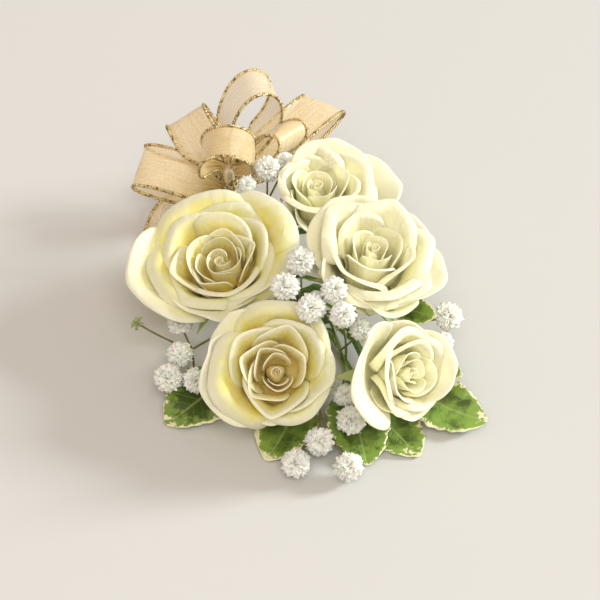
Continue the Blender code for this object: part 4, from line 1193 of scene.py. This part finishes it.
def make_ribbon(name, path, where, across, width, shift, finish, thread):
    """One ribbon with its two gold edges."""
    grid = ribbon_grid(path, where, across, width, shift, name != "bow_tail")
    skin = Skin()
    open_share = np.linalg.norm(grid[:, -1] - grid[:, 0], axis=1)[:, None] / width
    # Denser where the ribbon is gathered, plus painted shade on the loops listed for it.
    density_and_shade = GATHER_TONE * (GATHER_FULL - open_share) + PAINTED_SHADE_LOOPS.get(name, 0.0)
    skin.grid(grid, along=where / RIBBON_MAP_LENGTH, tone=np.clip(density_and_shade, 0.0, 1.0))
    cloth = skin.build(name + "_ribbon", finish, 0.0, (name,), "ribbon")
    radius = bpy.context.scene.corsage_sizes.thread_radius / MM
    edges = Skin()
    for column in (0, -1):
        line, _ = evenly(grid[:, column], THREAD_STEP)
        edges.tube(line, radius, *THREAD_ROUND)
    gold = edges.build(name + "_gold_edges", thread, 0.0, (), "tie")


class CORSAGE_OT_bow(bpy.types.Operator):
    """Make the bow's loops and its loose end, with gold thread along their edges"""
    bl_idname = "corsage.bow"
    bl_label = "Bow"

    def execute(self, context):
        cloth, thread = ribbon_finish(), gold_finish()
        for name, loop in LOOPS.items():
            path, where, across = loop_path(loop)
            make_ribbon(name, path, where, across, loop.width, loop.shift, cloth, thread)
        path, where, across = tail_path()
        make_ribbon("bow_tail", path, where, across, TAIL_WIDTH, 0.0, cloth, thread)
        return {"FINISHED"}


class CORSAGE_OT_tie(bpy.types.Operator):
    """Finish the tie, and wind gold wire round it"""
    bl_idname = "corsage.tie"
    bl_label = "Tie"

    def execute(self, context):
        thread = bpy.data.materials.get("gold_thread") or gold_finish()
        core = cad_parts["bow_tie"]
        core.data.materials.clear()
        core.data.materials.append(tie_finish())
        share = np.linspace(0.0, 1.0, 260)
        path = TIE_CENTRE + ring_points(TIE_RADIUS + WIRE_CLEAR, share * TAU * WIRE_TURNS,
                                        WIRE_HALF_LENGTH * (2.0 * share - 1.0))
        skin = Skin()
        skin.tube(path, WIRE_RADIUS, *WIRE_ROUND)
        skin.build("tie_winding", thread, 0.0, (), "tie")
        return {"FINISHED"}


class CORSAGE_OT_taped_stems(bpy.types.Operator):
    """Give the stem bundle and the rose stems their floral tape"""
    bl_idname = "corsage.taped_stems"
    bl_label = "Taped Stems"

    def execute(self, context):
        tape = tape_finish()
        for name in ["stem_bundle"] + [rose + "_stem" for rose in ROSES]:
            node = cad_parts[name]
            node.data.materials.clear()
            node.data.materials.append(tape)
        return {"FINISHED"}


# ---------------------------------------------------------------- stage

CAMERA_TARGET = Vector((0.008, -0.0316, 0.025))
CAMERA_ELEVATION = math.radians(45.0)
CAMERA_DISTANCE = 0.6
CAMERA_LENS = 120.0
CAMERA_SENSOR = 36.0
FLOOR_HALF = 2.5
# Name, azimuth and elevation in degrees, distance and size in metres, watts, colour.
LIGHTS = (
    ("key", 14.0, 24.0, 4.0, 0.9, 160.0, (0.92, 0.99, 1.0)),
    ("front", -85.0, 54.0, 2.5, 1.6, 33.0, (1.0, 0.95, 0.88)),
)
FILL_COLOR = (1.0, 0.83, 0.73, 1.0)
FILL_STRENGTH = 0.58


def aim(obj, spot, target):
    """Put a light or the camera at a spot, looking at the target."""
    obj.location = spot
    obj.rotation_euler = (Vector(target) - Vector(spot)).to_track_quat("-Z", "Y").to_euler()


def add_light(name, azimuth, elevation, distance, size, energy, color):
    """A square soft light on a sphere round the corsage."""
    lamp = bpy.data.lights.new(name, "AREA")
    lamp.size = size
    lamp.energy = energy
    lamp.color = color
    obj = bpy.data.objects.new(name, lamp)
    bpy.context.scene.collection.objects.link(obj)
    turn, rise = math.radians(azimuth), math.radians(elevation)
    way = Vector((math.cos(turn) * math.cos(rise), math.sin(turn) * math.cos(rise), math.sin(rise)))
    aim(obj, CAMERA_TARGET + way * distance, CAMERA_TARGET)


class CORSAGE_OT_stage(bpy.types.Operator):
    """Set the floor, the lights and the camera"""
    bl_idname = "corsage.stage"
    bl_label = "Stage"

    def execute(self, context):
        scene = context.scene
        finish, tree, shader = new_finish("plain_floor", Roughness=0.9)
        grain = grouped(tree, soft_patches, Vector=place_of(tree), Scale=6.0, Level=0.5,
                        Softness=0.3)
        floor_color = tuple(scene.corsage_colors.floor)
        darker = tuple(0.985 * c for c in floor_color)
        paint(tree, shader, blend(tree, grain, floor_color, darker))
        mesh = bpy.data.meshes.new("floor")
        corners = ((-1, -1), (1, -1), (1, 1), (-1, 1))
        mesh.from_pydata([(FLOOR_HALF * x, FLOOR_HALF * y, 0.0) for x, y in corners], [],
                         [(0, 1, 2, 3)])
        mesh.materials.append(finish)
        floor = bpy.data.objects.new("floor", mesh)
        scene.collection.objects.link(floor)
        camera = bpy.data.objects.new("camera", bpy.data.cameras.new("camera"))
        scene.collection.objects.link(camera)
        camera.data.lens = CAMERA_LENS
        camera.data.sensor_width = CAMERA_SENSOR
        camera.data.clip_start = 0.01
        back = Vector((0.0, -math.cos(CAMERA_ELEVATION), math.sin(CAMERA_ELEVATION)))
        aim(camera, CAMERA_TARGET + back * CAMERA_DISTANCE, CAMERA_TARGET)
        scene.camera = camera
        for light in LIGHTS:
            add_light(*light)
        world = bpy.data.worlds.new("soft_fill")
        world.use_nodes = True
        fill = world.node_tree.nodes["Background"]
        fill.inputs["Color"].default_value = FILL_COLOR
        fill.inputs["Strength"].default_value = FILL_STRENGTH
        scene.world = world
        scene.view_settings.view_transform = "Standard"
        return {"FINISHED"}


# ---------------------------------------------------------------- panel and running

OPERATORS = (
    CORSAGE_OT_guard_petals, CORSAGE_OT_inner_petals, CORSAGE_OT_sepals, CORSAGE_OT_leaves,
    CORSAGE_OT_baby_breath, CORSAGE_OT_bow, CORSAGE_OT_tie, CORSAGE_OT_taped_stems,
    CORSAGE_OT_stage,
)


class CORSAGE_PT_panel(bpy.types.Panel):
    """Lists the corsage's settings and pieces"""
    bl_idname = "CORSAGE_PT_panel"
    bl_label = "Corsage"
    bl_space_type = "VIEW_3D"
    bl_region_type = "UI"
    bl_category = "Corsage"

    def draw(self, context):
        for settings in (context.scene.corsage_colors, context.scene.corsage_sizes):
            for key in settings.__annotations__:
                self.layout.prop(settings, key)
        for operator in OPERATORS:
            self.layout.operator(operator.bl_idname)


CLASSES = (CorsageColors, CorsageSizes) + OPERATORS + (CORSAGE_PT_panel,)


def register():
    for item in CLASSES:
        bpy.utils.register_class(item)
    bpy.types.Scene.corsage_colors = PointerProperty(type=CorsageColors)
    bpy.types.Scene.corsage_sizes = PointerProperty(type=CorsageSizes)


def unregister():
    del bpy.types.Scene.corsage_sizes
    del bpy.types.Scene.corsage_colors
    for item in reversed(CLASSES):
        bpy.utils.unregister_class(item)


def main():
    register()
    for operator in OPERATORS:
        group, name = operator.bl_idname.split(".")
        getattr(getattr(bpy.ops, group), name)()


if __name__ == "__main__":
    main()
